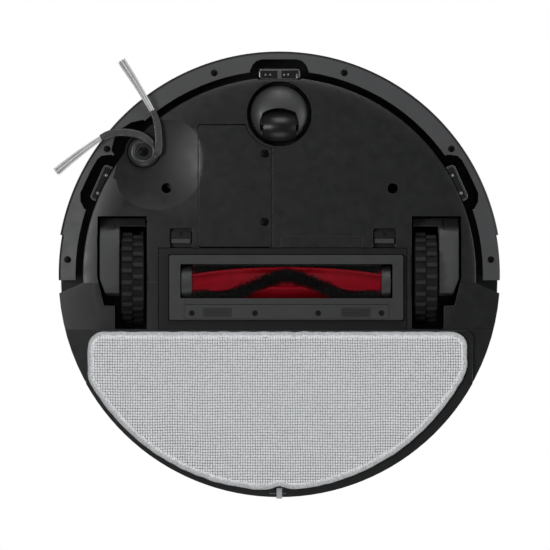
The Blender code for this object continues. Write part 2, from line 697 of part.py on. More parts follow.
def bristle_bundle(path, tip):
    """A flat bundle that leaves the arm's end and comes down towards the floor."""
    start, behind = Vector(path[-1]), Vector(path[-2])
    onwards = (start - behind).normalized()
    straight = (Vector(tip) - start).normalized()
    first = start + onwards * 1.6
    stations = 7
    length = (Vector(tip) - first).length
    sections = []
    for i in range(stations):
        share = i / (stations - 1)
        middle = first + straight * (length * share)
        across = Vector((-straight.y, straight.x)) * (2.0 + 1.4 * share)
        top = ARM_TOP - 0.6 - 4.2 * share**1.5
        bottom = ARM_BOTTOM + 0.4 - 4.4 * share**1.5
        sections.append([
            (middle.x - across.x, middle.y - across.y, bottom),
            (middle.x + across.x, middle.y + across.y, bottom),
            (middle.x + across.x, middle.y + across.y, top),
            (middle.x - across.x, middle.y - across.y, top),
        ])
    return loft(sections)


# ---- drive wheels -------------------------------------------------------------------------------

def drive_wheel(name, side):
    axle = (side * 116.0, AXLE_Y, AXLE_Z)
    pivot = (side * 124.0, PIVOT_Y, PIVOT_Z)
    half = (TYRE_OUTER_X - TYRE_INNER_X) / 2
    middle = (side * (TYRE_OUTER_X + TYRE_INNER_X) / 2, AXLE_Y, AXLE_Z)
    rim = 29.6
    edge = 1.2
    tread = [(rim + GAP, half), (TYRE_RADIUS - edge, half), (TYRE_RADIUS, half - edge)]
    tread += [(TYRE_RADIUS, edge - half), (TYRE_RADIUS - edge, -half), (rim + GAP, -half)]
    tyre = turned(tread, middle, 48, axis="X", closed=True)
    piece(f"wheel_tyre_{name}", tyre, material("tyre_rubber", CHARCOAL, 0.8), axle)
    hub = cylinder((AXLE_Y, AXLE_Z), rim, *x_range(108.2, 124.4, side), axis="X", sides=36)
    join(hub, cylinder((AXLE_Y, AXLE_Z), 4.0, *x_range(120.0, 134.0, side), axis="X", sides=24))
    piece(f"wheel_hub_{name}", hub, material("satin_black_plastic", BLACK, 0.4), axle)
    housing_side = [(-44.6, 30.0), (-42.6, 26.4), (-34.9, 16.0), (-28.0, 12.6), (8.0, 12.6), (15.0, 15.0)]
    housing_side += [(17.6, 20.0), (17.6, 52.0), (6.0, 62.0), (-20.0, 62.0), (-38.0, 38.0), (-42.6, 33.6)]
    housing = standing_plate(housing_side, *x_range(126.0, 142.4, side))
    front_plate = [(-44.4, 29.0), (-43.2, 26.6), (-35.4, 16.4), (-33.6, 17.4), (-38.0, 27.0), (-38.2, 31.0)]
    front_plate += [(-40.0, 33.4), (-43.0, 33.4)]
    join(housing, standing_plate(front_plate, *x_range(106.0, 130.0, side)))
    bevel_corner = [(143.4, 1.0), (137.0, 18.6), (137.0, 30.0), (150.0, 30.0), (150.0, 1.0)]
    cut(housing, plate([sided(bevel_corner, side)], 0.0, 80.0))
    # The top moves backwards as the wheel drops, into the narrow end of the well.
    shoulder_low, shoulder_high = x_range(139.4, 150.0, side)
    cut(housing, box((shoulder_low, -14.0, 44.0), (shoulder_high, 30.0, 80.0)))
    cut(housing, cylinder((AXLE_Y, AXLE_Z), 4.4, *x_range(120.0, 134.6, side), axis="X", sides=24))
    cut(housing, pin_bore(100.0, 150.0, side))
    piece(f"wheel_arm_{name}", housing, material("charcoal_plastic", CHARCOAL, 0.45), pivot)
    pin = cylinder((PIVOT_Y, PIVOT_Z), PIN_RADIUS, *x_range(101.0, 146.6, side), axis="X", sides=16)
    piece(f"suspension_pin_{name}", pin, material("bright_steel", STEEL, 0.25, 1.0))


# ---- main brush ---------------------------------------------------------------------------------

def twist_at(x):
    """How far the fins have turned round the roller at x: they form a V with its point in the middle."""
    middle = (ROLLER_FIRST_X + ROLLER_LAST_X) / 2
    half = (ROLLER_LAST_X - ROLLER_FIRST_X) / 2
    return ROLLER_TWIST * (1.0 - abs(x - middle) / half)


def roller_point(x, radius, angle):
    return (x, ROLLER_Y + radius * math.cos(angle), ROLLER_Z + radius * math.sin(angle))


def roller():
    axis = (0.0, ROLLER_Y, ROLLER_Z)
    stations = 15
    half_fin, foot = math.radians(4), math.radians(9)
    rubber_sections, strip_sections = [], []
    for i in range(stations):
        x = ROLLER_FIRST_X + (ROLLER_LAST_X - ROLLER_FIRST_X) * i / (stations - 1)
        ring = []
        for fin in range(ROLLER_FINS):
            turn = twist_at(x) + fin * math.tau / ROLLER_FINS
            ring.append(roller_point(x, ROLLER_CORE_RADIUS, turn - foot))
            ring.append(roller_point(x, ROLLER_FIN_RADIUS, turn - half_fin))
            ring.append(roller_point(x, ROLLER_FIN_RADIUS, turn + half_fin))
            ring.append(roller_point(x, ROLLER_CORE_RADIUS, turn + foot))
        rubber_sections.append(ring)
        turn = twist_at(x) + math.tau * 0.5 / ROLLER_FINS
        low, high, spread = ROLLER_CORE_RADIUS + GAP, ROLLER_FIN_RADIUS - 0.2, math.radians(6)
        strip_sections.append([
            roller_point(x, low, turn - spread),
            roller_point(x, high, turn - spread),
            roller_point(x, high, turn + spread),
            roller_point(x, low, turn + spread),
        ])
    piece("roller_rubber", loft(rubber_sections), material("red_rubber", RED, 0.45), axis)
    piece("roller_bristle_strip", loft(strip_sections), material("black_bristle", BLACK, 0.9), axis)
    ends = {"right": (-77.6, -69.1), "left": (80.9, 88.2)}
    for name, (low, high) in ends.items():
        cap = cylinder((ROLLER_Y, ROLLER_Z), 13.8, low, high, axis="X", sides=28)
        if name == "left":
            join(cap, cylinder((ROLLER_Y, ROLLER_Z), 3.0, 86.0, 94.0, axis="X", sides=20))
        piece(f"roller_end_cap_{name}", cap, material("charcoal_plastic", CHARCOAL, 0.45), axis)
    coupler = cylinder((ROLLER_Y, ROLLER_Z), 4.0, -95.3, -78.0, axis="X", sides=6)
    piece("roller_coupler", coupler, material("satin_black_plastic", BLACK, 0.4), axis)


def brush_chamber():
    chamber = box(CHAMBER_LOW, CHAMBER_HIGH)
    low, high = CHAMBER_OPENING
    cut(chamber, box((*low, CHAMBER_LOW[2] - OVER), (*high, CHAMBER_HIGH[2] - 2.6)))
    cut(chamber, box(DUCT_LOW, DUCT_HIGH))
    cut(chamber, cylinder((ROLLER_Y, ROLLER_Z), 4.8, -100.0, -80.0, axis="X", sides=20))
    piece("brush_chamber", chamber, material("matte_black_plastic", BLACK, 0.62))


def roller_gearbox():
    gearbox = box((-102.4, -28.0, 12.6), (-96.3, 16.0, 58.0))
    join(gearbox, cylinder((-16.0, 58.0), 9.0, -98.0, -62.0, axis="X", sides=32))
    piece("roller_gearbox", gearbox, material("motor_housing", CHARCOAL, 0.5))


def brush_cover():
    outer_low, outer_high = grown(*CHAMBER_OPENING, -GAP)
    inner_low, inner_high = grown(*CHAMBER_OPENING, -GAP - 2.0)
    top = BRUSH_COVER_BOTTOM + 1.4
    outer = rectangle(outer_low, outer_high, 1.5)
    cover = plate([outer, rectangle(*COVER_OPENING, 1.0)], BRUSH_COVER_BOTTOM, top)
    rim = plate([outer, rectangle(inner_low, inner_high, 1.0)], top - 0.6, 12.0)
    finish = material("charcoal_plastic", CHARCOAL, 0.45)
    piece("brush_cover", join(cover, rim), finish, (0.0, 0.0, BRUSH_COVER_BOTTOM))
    wiper_outline = rectangle((-74.9, 24.3), (86.6, 35.4), 1.0)
    wiper = plate([wiper_outline], BRUSH_COVER_BOTTOM - 1.1, BRUSH_COVER_BOTTOM - 0.3)
    piece("cover_wiper_plate", wiper, finish, (0.0, 0.0, BRUSH_COVER_BOTTOM))


def latches():
    for name, (x_low, x_high) in LATCHES.items():
        bar = box((x_low + 1.4, -27.9, 9.3), (x_high - 1.4, -24.3, 12.6))
        slider = box((x_low + 0.6, -34.0, 12.2), (x_high - 0.6, -24.3, 14.5))
        finish = material("charcoal_plastic", CHARCOAL, 0.45)
        piece(f"cover_latch_{name}", join(bar, slider), finish, (x_low, -26.1, 11.0))


# ---- mop ----------------------------------------------------------------------------------------

def half_moon(side_x, front_y, radius, corner):
    """A half moon: straight in front, round behind, with short straight sides."""
    first = math.degrees(math.acos(side_x / radius))
    front = arc((-side_x + corner, front_y + corner), corner, 180, 270, 4)
    front += arc((side_x - corner, front_y + corner), corner, 270, 360, 4)
    return front + arc((0.0, REAR_CENTRE_Y), radius, first, 180 - first, 44)


def mop():
    outline = half_moon(BRACKET_SIDE_X, BRACKET_FRONT_Y, BODY_RADIUS + 0.2, 6.0)
    bracket = plate([outline], BRACKET_BOTTOM, BRACKET_TOP)
    cut(bracket, box((-2.9, 165.0, 0.0), (2.9, 190.0, 7.6)))
    piece("mop_bracket", bracket, material("matte_black_plastic", BLACK, 0.62), (0.0, 0.0, BRACKET_TOP))
    cloth = plate([half_moon(CLOTH_SIDE_X, CLOTH_FRONT_Y, CLOTH_REAR_RADIUS, 12.0)], CLOTH_BOTTOM, CLOTH_TOP)
    piece("mop_cloth", cloth, material("microfibre_cloth", CLOTH_GREY, 0.95), (0.0, 0.0, BRACKET_TOP))
    tab = box((-2.3, 169.2, 4.8), (2.3, 177.9, 7.3))
    piece("mop_release_tab", bevelled(tab, 0.6), material("grey_plastic", GREY, 0.5), (0.0, 170.0, 5.7))


# ---- rear module --------------------------------------------------------------------------------

def rear_module():
    low, high = (-75.0, MODULE_FRONT_Y, 12.8), (69.8, TANK_FRONT_Y - GAP, 66.0)
    wall = 1.8
    dustbin = box(low, high)
    cut(dustbin, box(*grown(low, high, -wall)), box(DUCT_LOW, DUCT_HIGH))
    cut(dustbin, box((60.0, 66.0, 24.0), (72.0, 94.0, 52.0)))
    piece("dustbin", dustbin, material("smoked_clear_plastic", CHARCOAL, 0.15), (0.0, MODULE_FRONT_Y, 12.8))
    fine_filter = bevelled(box((70.2, 62.0, 20.0), (76.0, 98.0, 56.0)), 0.8)
    paper = material("filter_paper", CLOTH_GREY, 0.9)
    piece("dustbin_filter", fine_filter, paper, (0.0, MODULE_FRONT_Y, 12.8))
    tank = box((-80.2, TANK_FRONT_Y, 12.8), (80.2, MODULE_REAR_Y, 66.2))
    rear = cylinder((0.0, REAR_CENTRE_Y), BODY_RADIUS, 0.0, 90.0, sides=96)
    within(tank, rear)
    cut(tank, box((-76.0, TANK_FRONT_Y + 2.0, 15.0), (76.0, 150.0, 63.0)))
    cut(tank, cylinder((40.0, 135.0), 6.0, 60.0, 70.0, sides=24))
    cut(tank, box((-30.0, 166.0, 56.0), (30.0, 190.0, 62.0)))
    piece("water_tank", tank, material("satin_black_plastic", BLACK, 0.4), (0.0, MODULE_FRONT_Y, 12.8))


def blower():
    axis = (*BLOWER, 0.0)
    inside = [(0.0, 16.0), (25.0, 16.0), (25.0, 44.0), (11.0, 44.0)]
    profile = [*inside, (11.0, 46.0), (27.0, 46.0), (27.0, 13.0), (0.0, 13.0)]
    piece("blower_housing", turned(profile, axis, 28), material("motor_housing", CHARCOAL, 0.5))
    motor = cylinder(BLOWER, 9.0, 16.4, 32.0, sides=20)
    piece("blower_motor", motor, material("bright_steel", STEEL, 0.25, 1.0))
    blades = 9
    outline = []
    for i in range(blades):
        turn = 360 * i / blades
        for radius, angle in ((12.6, turn - 6), (22.0, turn - 1), (22.0, turn + 3), (12.6, turn + 6)):
            outline += arc(BLOWER, radius, angle, angle, 1)[:1]
    impeller = plate([outline, arc(BLOWER, 9.6, 0, 360, 24)[:-1]], 17.0, 34.0)
    piece("fan_impeller", impeller, material("satin_black_plastic", BLACK, 0.4), (*BLOWER, 17.0))


# ---- turret -------------------------------------------------------------------------------------

def turret():
    axis = (*TURRET_CENTRE, 0.0)
    profile = [(0.0, 79.2), (31.0, 79.2), (31.0, 81.8), (36.6, 81.8), (37.8, 81.0), (37.8, 70.0), (0.0, 70.0)]
    base = turned(profile, axis, 40)
    piece("lidar_base", base, material("satin_black_plastic", BLACK, 0.4))
    rotor = turned([(0.0, 90.8), (29.0, 90.8), (30.2, 89.8), (30.2, 79.6), (0.0, 79.6)], axis, 32)
    cut(rotor, box((-9.0, 0.0, 82.0), (9.0, 24.0, 88.0)))
    piece("lidar_rotor", rotor, material("motor_housing", CHARCOAL, 0.5), (*TURRET_CENTRE, 79.6))
    profile = [(0.0, TURRET_TOP), (36.4, TURRET_TOP), (38.6, 96.0)]
    profile += [(39.6, 94.8), (39.6, 93.0), (38.8, 92.2), (0.0, 92.2)]
    cap = turned(profile, axis, 40)
    for degrees in (30, 150, 270):
        leg = box((32.6, -3.5, 83.2), (35.8, 3.5, 93.0))
        turn = Matrix.Rotation(math.radians(degrees), 4, "Z")
        leg.data.transform(Matrix.Translation(Vector(axis) * MM) @ turn)
        join(cap, leg)
    piece("lidar_cap", cap, material("satin_black_plastic", BLACK, 0.4), (*TURRET_CENTRE, 92.2))


def build():
    chassis_base()
    charging_contacts()
    side_frame()
    top_cover()
    buttons()
    bumper()
    cliff_sensors()
    battery()
    main_board()
    caster()
    side_brush()
    for name, side in SIDES.items():
        drive_wheel(name, side)
    roller()
    brush_chamber()
    roller_gearbox()
    brush_cover()
    latches()
    mop()
    rear_module()
    blower()
    turret()


build()
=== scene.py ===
"""The looks of a robot vacuum that is seen from below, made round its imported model.

Everything is in the model's own frame: +Z up, -Y the front, the origin on the floor under the middle.
Lengths in this script are millimetres, which MM turns into metres.
"""

import json
import math
import random

import bmesh
import bpy
from mathutils import Matrix, Vector, noise

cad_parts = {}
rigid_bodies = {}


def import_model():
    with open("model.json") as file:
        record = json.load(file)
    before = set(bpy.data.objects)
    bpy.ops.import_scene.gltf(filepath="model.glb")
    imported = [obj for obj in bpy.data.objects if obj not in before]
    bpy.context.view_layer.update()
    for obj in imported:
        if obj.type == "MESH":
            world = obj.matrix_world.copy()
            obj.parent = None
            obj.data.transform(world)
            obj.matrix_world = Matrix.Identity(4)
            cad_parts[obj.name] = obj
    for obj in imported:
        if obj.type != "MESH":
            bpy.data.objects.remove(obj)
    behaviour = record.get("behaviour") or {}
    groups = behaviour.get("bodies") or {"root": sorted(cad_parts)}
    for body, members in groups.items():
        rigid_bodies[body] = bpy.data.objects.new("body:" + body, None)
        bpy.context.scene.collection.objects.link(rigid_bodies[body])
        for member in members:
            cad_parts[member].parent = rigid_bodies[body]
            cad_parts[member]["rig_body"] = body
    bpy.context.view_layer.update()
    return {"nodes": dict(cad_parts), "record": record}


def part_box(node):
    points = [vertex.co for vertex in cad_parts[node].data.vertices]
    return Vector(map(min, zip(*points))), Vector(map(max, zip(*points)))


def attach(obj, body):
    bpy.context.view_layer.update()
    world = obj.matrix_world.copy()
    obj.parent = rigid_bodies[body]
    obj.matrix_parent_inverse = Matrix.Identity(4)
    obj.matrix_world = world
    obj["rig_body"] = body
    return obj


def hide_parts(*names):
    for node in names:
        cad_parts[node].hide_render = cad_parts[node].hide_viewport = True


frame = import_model()
NODES = frame["nodes"]
SLOTS = {entry["node"]: entry["material_slot"] for entry in frame["record"]["subparts"]}
MM = 0.001
SIDES = {"right": -1, "left": 1}
DOWN = Vector((0.0, 0.0, -1.0))


def low_high(node):
    """A node's lowest and highest corners, in millimetres."""
    low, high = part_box(node)
    return low / MM, high / MM


def middle(node):
    low, high = low_high(node)
    return (low + high) / 2


# ---- making pieces ----

REPLACED = set()


def new_object(name, data):
    obj = bpy.data.objects.new(name, data)
    bpy.context.scene.collection.objects.link(obj)
    return obj


def add(name, mesh, finish, body, replaces=()):
    """Makes a piece from a mesh in metres: it rides on a body and stands for the nodes it replaces."""
    obj = new_object(name, mesh)
    mesh.materials.clear()
    mesh.materials.append(finish)
    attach(obj, body)
    if replaces:
        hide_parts(*replaces)
        REPLACED.update(replaces)
    return obj


def shaded(mesh, sharp):
    """Shades a mesh smooth up to an angle in degrees."""
    mesh.shade_smooth()
    mesh.set_sharp_from_angle(angle=math.radians(sharp))
    return mesh


def mesh_of(name, points, faces, smooth=True, sharp=38.0):
    """A mesh from points in millimetres."""
    mesh = bpy.data.meshes.new(name)
    mesh.from_pydata([(x * MM, y * MM, z * MM) for x, y, z in points], [], faces)
    mesh.validate()
    return shaded(mesh, sharp) if smooth else mesh


def outwards(mesh):
    """Turns a closed mesh's faces outwards."""
    bm = bmesh.new()
    bm.from_mesh(mesh)
    bmesh.ops.recalc_face_normals(bm, faces=bm.faces)
    bm.to_mesh(mesh)
    bm.free()
    return mesh


def rings_mesh(name, rings, closed_rings=True, loop=False, caps=True, sharp=38.0):
    """A skin over rings of points; loop joins the last ring to the first."""
    count = len(rings[0])
    points = [point for ring in rings for point in ring]
    faces = []
    last = len(rings) if loop else len(rings) - 1
    span = count if closed_rings else count - 1
    for r in range(last):
        here, there = r * count, ((r + 1) % len(rings)) * count
        for i in range(span):
            j = (i + 1) % count
            faces.append((here + i, here + j, there + j, there + i))
    if caps and not loop:
        faces.append(tuple(range(count)))
        faces.append(tuple((len(rings) - 1) * count + i for i in range(count)))
    return outwards(mesh_of(name, points, faces, sharp=sharp))


ON_AXIS = 0.001  # a radius too small to see


def turned(name, profile, centre, axis="Z", steps=64, sharp=30.0):
    """Turns a profile of (radius, height) round an axis; a radius of 0 closes it."""
    rings = []
    for r, h in profile:
        ring = []
        for i in range(steps):
            a = math.tau * i / steps
            u, v = max(r, ON_AXIS) * math.cos(a), max(r, ON_AXIS) * math.sin(a)
            ring.append((h, u, v) if axis == "X" else (u, v, h))
        rings.append([Vector(p) + Vector(centre) for p in ring])
    hollow = profile[0][0] > 0.0 and profile[0] != profile[-1]
    return rings_mesh(name, rings, loop=hollow, sharp=sharp)


def applied(obj):
    """Removes an object and returns its evaluated mesh, in world space."""
    bpy.context.view_layer.update()
    seen = obj.evaluated_get(bpy.context.evaluated_depsgraph_get())
    mesh = bpy.data.meshes.new_from_object(seen)
    mesh.transform(obj.matrix_world)
    bpy.data.objects.remove(obj)
    return mesh


def loose(mesh):
    """An object that is only worked on."""
    return new_object("tool", mesh)


def cut_by(mesh, *tools):
    """A mesh with other closed meshes taken out of it."""
    obj = loose(mesh)
    tool_objects = [loose(tool) for tool in tools]
    for tool in tool_objects:
        boolean = obj.modifiers.new("cut", "BOOLEAN")
        boolean.operation = "DIFFERENCE"
        boolean.object = tool
    result = applied(obj)
    for tool in tool_objects:
        bpy.data.objects.remove(tool)
    return result


def rectangle(x0, y0, x1, y1):
    return [(x0, y0), (x1, y0), (x1, y1), (x0, y1)]


def slab(name, outline, low, high, sharp=30.0):
    """A flat plate with an outline."""
    return rings_mesh(name, [[(x, y, z) for x, y in outline] for z in (low, high)], sharp=sharp)


def block(low, high):
    """A box as a closed mesh, from corners in millimetres."""
    return slab("block", rectangle(low[0], low[1], high[0], high[1]), low[2], high[2], sharp=10.0)


def softened(obj, width, segments=3, angle=30.0):
    """Rounds an object's edges and keeps its flat faces flat."""
    bevel = obj.modifiers.new("edges", "BEVEL")
    bevel.width = width * MM
    bevel.segments = segments
    bevel.limit_method = "ANGLE"
    bevel.angle_limit = math.radians(angle)
    bevel.use_clamp_overlap = False
    weighted = obj.modifiers.new("shading", "WEIGHTED_NORMAL")
    weighted.keep_sharp = True
    return obj


SEAM_GAP = 0.004 * MM
PART_EDGE, PART_ANGLE = 0.3, 35.0  # how round a hard part's edges are, and from which angle


def fine_copy(node):
    """A node's mesh with its seams closed."""
    bm = bmesh.new()
    bm.from_mesh(NODES[node].data)
    bmesh.ops.remove_doubles(bm, verts=bm.verts, dist=SEAM_GAP)
    bmesh.ops.dissolve_degenerate(bm, edges=bm.edges, dist=SEAM_GAP)
    bm.verts.index_update()
    points = [tuple(v.co) for v in bm.verts]
    faces = [tuple(v.index for v in f.verts) for f in bm.faces]
    bm.free()
    mesh = bpy.data.meshes.new(node + "_fine")
    mesh.from_pydata(points, [], faces)
    mesh.shade_smooth()
    return mesh


def refine(node, finish):
    """Replaces a hard node by a copy with rounded edges and smooth round faces."""
    body = NODES[node]["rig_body"]
    obj = add(node + "_fine", fine_copy(node), finish, body, (node,))
    return softened(obj, PART_EDGE, 2, PART_ANGLE)


# ---- outlines ----


def arc(centre, radius, start, end, steps):
    turns = [math.radians(start + (end - start) * i / steps) for i in range(steps + 1)]
    return [(centre[0] + radius * math.cos(t), centre[1] + radius * math.sin(t)) for t in turns]


def round_box(low, high, corner, steps=5):
    """A rectangle with round corners, anticlockwise."""
    points = []
    for x, y, start in (
        (high[0] - corner, high[1] - corner, 0),
        (low[0] + corner, high[1] - corner, 90),
        (low[0] + corner, low[1] + corner, 180),
        (high[0] - corner, low[1] + corner, 270),
    ):
        points += arc((x, y), corner, start, start + 90, steps)
    return points


def smooth_path(points, per_span=8):
    """A Catmull-Rom curve through points."""
    ends = [points[0] * 2 - points[1], *points, points[-1] * 2 - points[-2]]
    path = []
    for i in range(1, len(ends) - 2):
        before, a, b, after = ends[i - 1], ends[i], ends[i + 1], ends[i + 2]
        for k in range(per_span):
            t = k / per_span
            path.append(
                (a * 2 + (b - before) * t + (before * 2 - a * 5 + b * 4 - after) * t * t
                 + (a * 3 - before - b * 3 + after) * t**3) / 2
            )
    path.append(points[-1])
    return path


def evenly(points, step):
    """Points at even steps round a closed polyline."""
    chain = [Vector(p) for p in points]
    chain.append(chain[0])
    lengths = [(b - a).length for a, b in zip(chain, chain[1:])]
    total = sum(lengths)
    count = round(total / step)
    out, i, passed = [], 0, 0.0
    for k in range(count):
        at = total * k / count
        while passed + lengths[i] < at:
            passed += lengths[i]
            i += 1
        out.append(chain[i].lerp(chain[i + 1], (at - passed) / lengths[i]))
    return out


def sweep(name, path, section, loop=False, sharp=38.0):
    """Sweeps section(i) = [(across, depth), ...] along a path; depths go down."""
    rings = []
    count = len(path)
    for i, at in enumerate(path):
        ahead = path[(i + 1) % count] if loop else path[min(i + 1, count - 1)]
        behind = path[i - 1] if loop or i > 0 else path[0]
        along = (ahead - behind).normalized()
        across = along.cross(DOWN).normalized()
        rings.append([at + across * a + DOWN * d for a, d in section(i)])
    return rings_mesh(name, rings, loop=loop, sharp=sharp)


def rounded_section(width, height, steps=4, power=2.6):
    """A soft rectangle as (across, height) points, centred on 0."""
    points = []
    count = steps * 4
    for i in range(count):
        a = math.tau * i / count
        c, s = math.cos(a), math.sin(a)
        points.append((
            width / 2 * math.copysign(abs(c) ** (2 / power), c),
            height / 2 * math.copysign(abs(s) ** (2 / power), s),
        ))
    return points


# ---- materials ----

USUAL_LOW, USUAL_HIGH = 0.3, 0.7  # noise mostly lies between these


class Shader:
    """A Principled material whose patterns come from points in the model's own frame."""

    def __init__(self, name, roughness=0.5, metallic=0.0, specular=0.5):
        self.material = bpy.data.materials.new(name)
        self.material.use_nodes = True
        self.tree = self.material.node_tree
        self.surface = self.tree.nodes["Principled BSDF"]
        self.surface.inputs["Roughness"].default_value = roughness
        self.surface.inputs["Metallic"].default_value = metallic
        self.surface.inputs["Specular IOR Level"].default_value = specular
        self.place = self.tree.nodes.new("ShaderNodeTexCoord").outputs["Object"]

    def node(self, kind, **values):
        made = self.tree.nodes.new(kind)
        for key, value in values.items():
            setattr(made, key, value)
        return made

    def link(self, output, socket):
        self.tree.links.new(output, socket)

    def stretched(self, scale):
        mapping = self.node("ShaderNodeMapping")
        mapping.inputs["Scale"].default_value = scale
        self.link(self.place, mapping.inputs["Vector"])
        return mapping.outputs["Vector"]

    def noise(self, size_mm, detail=3.0, place=None):
        """Noise whose features are about size_mm across."""
        made = self.node("ShaderNodeTexNoise")
        made.inputs["Scale"].default_value = 1.0 / (size_mm * MM)
        made.inputs["Detail"].default_value = detail
        self.link(place or self.place, made.inputs["Vector"])
        return made.outputs["Fac"]

    def between(self, factor, low, high):
        """A number that goes from low to high over the usual range of factor."""
        ranged = self.node("ShaderNodeMapRange")
        ranged.inputs["From Min"].default_value = USUAL_LOW
        ranged.inputs["From Max"].default_value = USUAL_HIGH
        ranged.inputs["To Min"].default_value = low
        ranged.inputs["To Max"].default_value = high
        self.link(factor, ranged.inputs["Value"])
        return ranged.outputs["Result"]

    def colours(self, factor, *stops):
        """A colour ramp over factor, from (place, colour) stops."""
        ramp = self.node("ShaderNodeValToRGB")
        while len(ramp.color_ramp.elements) < len(stops):
            ramp.color_ramp.elements.new(0.5)
        for element, (at, colour) in zip(ramp.color_ramp.elements, stops):
            element.position = at
            element.color = (*colour, 1.0)
        self.link(factor, ramp.inputs["Fac"])
        self.link(ramp.outputs["Color"], self.surface.inputs["Base Color"])

    def mottled(self, factor, low, high):
        """A colour that goes from low to high over the usual range of factor."""
        self.colours(factor, (USUAL_LOW, low), (USUAL_HIGH, high))

    def roughness(self, factor, low, high):
        self.link(self.between(factor, low, high), self.surface.inputs["Roughness"])

    def bump(self, height, depth_mm, strength=1.0):
        bump = self.node("ShaderNodeBump")
        bump.inputs["Distance"].default_value = depth_mm * MM
        bump.inputs["Strength"].default_value = strength
        self.link(height, bump.inputs["Height"])
        self.link(bump.outputs["Normal"], self.surface.inputs["Normal"])


def grey(value, tint=0.0):
    """A nearly neutral colour; tint pushes it towards blue."""
    return (value * (1 - tint * 0.5), value, value * (1 + tint))


PLASTIC_TINT = 0.03


def moulded(name, value, roughness, grain_mm=0.35, grain_depth=0.02, specular=0.5):
    """Injection-moulded plastic: an even fine grain, with slight cloudiness in colour and gloss."""
    shader = Shader(name, roughness, specular=specular)
    shader.mottled(shader.noise(38.0, 2.0), grey(value * 0.9, PLASTIC_TINT), grey(value * 1.12, PLASTIC_TINT))
    shader.roughness(shader.noise(9.0, 4.0), roughness * 0.9, roughness * 1.1)
    shader.bump(shader.noise(grain_mm, 2.0), grain_depth)
    return shader.material


def rubber(name, value, roughness, grain_mm=0.5, grain_depth=0.04):
    shader = Shader(name, roughness, specular=0.4)
    shader.mottled(shader.noise(3.0, 5.0), grey(value * 0.8), grey(value * 1.25))
    shader.roughness(shader.noise(1.6, 4.0), roughness * 0.88, roughness * 1.08)
    shader.bump(shader.noise(grain_mm, 3.0), grain_depth)
    return shader.material


def red_rubber():
    shader = Shader("red_roller_rubber", 0.5, specular=0.10)
    shader.mottled(shader.noise(12.0, 3.0), (0.17, 0.0003, 0.005), (0.22, 0.0006, 0.007))
    shader.roughness(shader.noise(2.5, 4.0), 0.42, 0.56)
    shader.bump(shader.noise(0.7, 3.0), 0.02)
    return shader.material


def clear_grey_rubber():
    shader = Shader("translucent_grey_rubber", 0.26, specular=0.5)
    shader.mottled(shader.noise(4.0, 3.0), grey(0.10), grey(0.14))
    shader.surface.inputs["Transmission Weight"].default_value = 0.5
    shader.surface.inputs["IOR"].default_value = 1.42
    shader.bump(shader.noise(0.9, 2.0), 0.02)
    return shader.material


def nylon(name, value):
    shader = Shader(name, 0.6, specular=0.15)
    shader.mottled(shader.noise(9.0, 2.0), grey(value * 0.92), grey(value * 1.08))
    shader.roughness(shader.noise(9.0, 2.0), 0.5, 0.7)
    return shader.material


def black_pile():
    shader = Shader("black_pile", 0.8, specular=0.2)
    shader.mottled(shader.noise(0.9, 2.0), grey(0.004), grey(0.034))
    shader.roughness(shader.noise(2.0, 2.0), 0.6, 0.85)
    return shader.material


def cloth(name, dark, light):
    shader = Shader(name, 0.95, specular=0.15)
    shader.surface.inputs["Sheen Weight"].default_value = 0.25
    shader.surface.inputs["Sheen Roughness"].default_value = 0.5
    shader.mottled(shader.noise(1.7, 4.0), grey(dark, 0.02), grey(light, 0.02))
    shader.roughness(shader.noise(1.0, 2.0), 0.85, 1.0)
    shader.bump(shader.noise(0.25, 4.0), 0.12)
    return shader.material


def smoked(name, value, roughness, transmission=0.0):
    shader = Shader(name, roughness, specular=0.6)
    shader.surface.inputs["Coat Weight"].default_value = 0.5
    shader.surface.inputs["Coat Roughness"].default_value = 0.05
    shader.surface.inputs["Transmission Weight"].default_value = transmission
    shader.mottled(shader.noise(20.0, 2.0), grey(value * 0.85), grey(value * 1.15))
    shader.roughness(shader.noise(6.0, 3.0), roughness * 0.8, roughness * 1.3)
    return shader.material


def metal(name, value, roughness, along=(1.0, 1.0, 1.0)):
    """Bright metal with fine scratches drawn out along an axis."""
    shader = Shader(name, roughness, metallic=1.0)
    lines = shader.noise(0.3, 3.0, shader.stretched(along))
    shader.mottled(lines, grey(value * 0.85), grey(value * 1.1))
    shader.roughness(lines, roughness * 0.75, roughness * 1.3)
    shader.bump(lines, 0.01)
    return shader.material


def printed_board():
    shader = Shader("printed_board", 0.45)
    bricks = shader.node("ShaderNodeTexBrick")
    bricks.inputs["Scale"].default_value = 160.0
    bricks.inputs["Color1"].default_value = (0.01, 0.09, 0.04, 1.0)
    bricks.inputs["Color2"].default_value = (0.012, 0.12, 0.05, 1.0)
    bricks.inputs["Mortar"].default_value = (0.05, 0.2, 0.08, 1.0)
    shader.link(shader.place, bricks.inputs["Vector"])
    shader.link(bricks.outputs["Color"], shader.surface.inputs["Base Color"])
    shader.bump(bricks.outputs["Fac"], 0.03)
    return shader.material


def pleated_paper():
    shader = Shader("pleated_paper", 0.95, specular=0.2)
    waves = shader.node("ShaderNodeTexWave")
    waves.inputs["Scale"].default_value = 120.0
    waves.bands_direction = "Y"
    shader.link(shader.place, waves.inputs["Vector"])
    shader.colours(waves.outputs["Fac"], (0.0, grey(0.35)), (1.0, grey(0.75)))
    shader.bump(waves.outputs["Fac"], 0.6)
    return shader.material


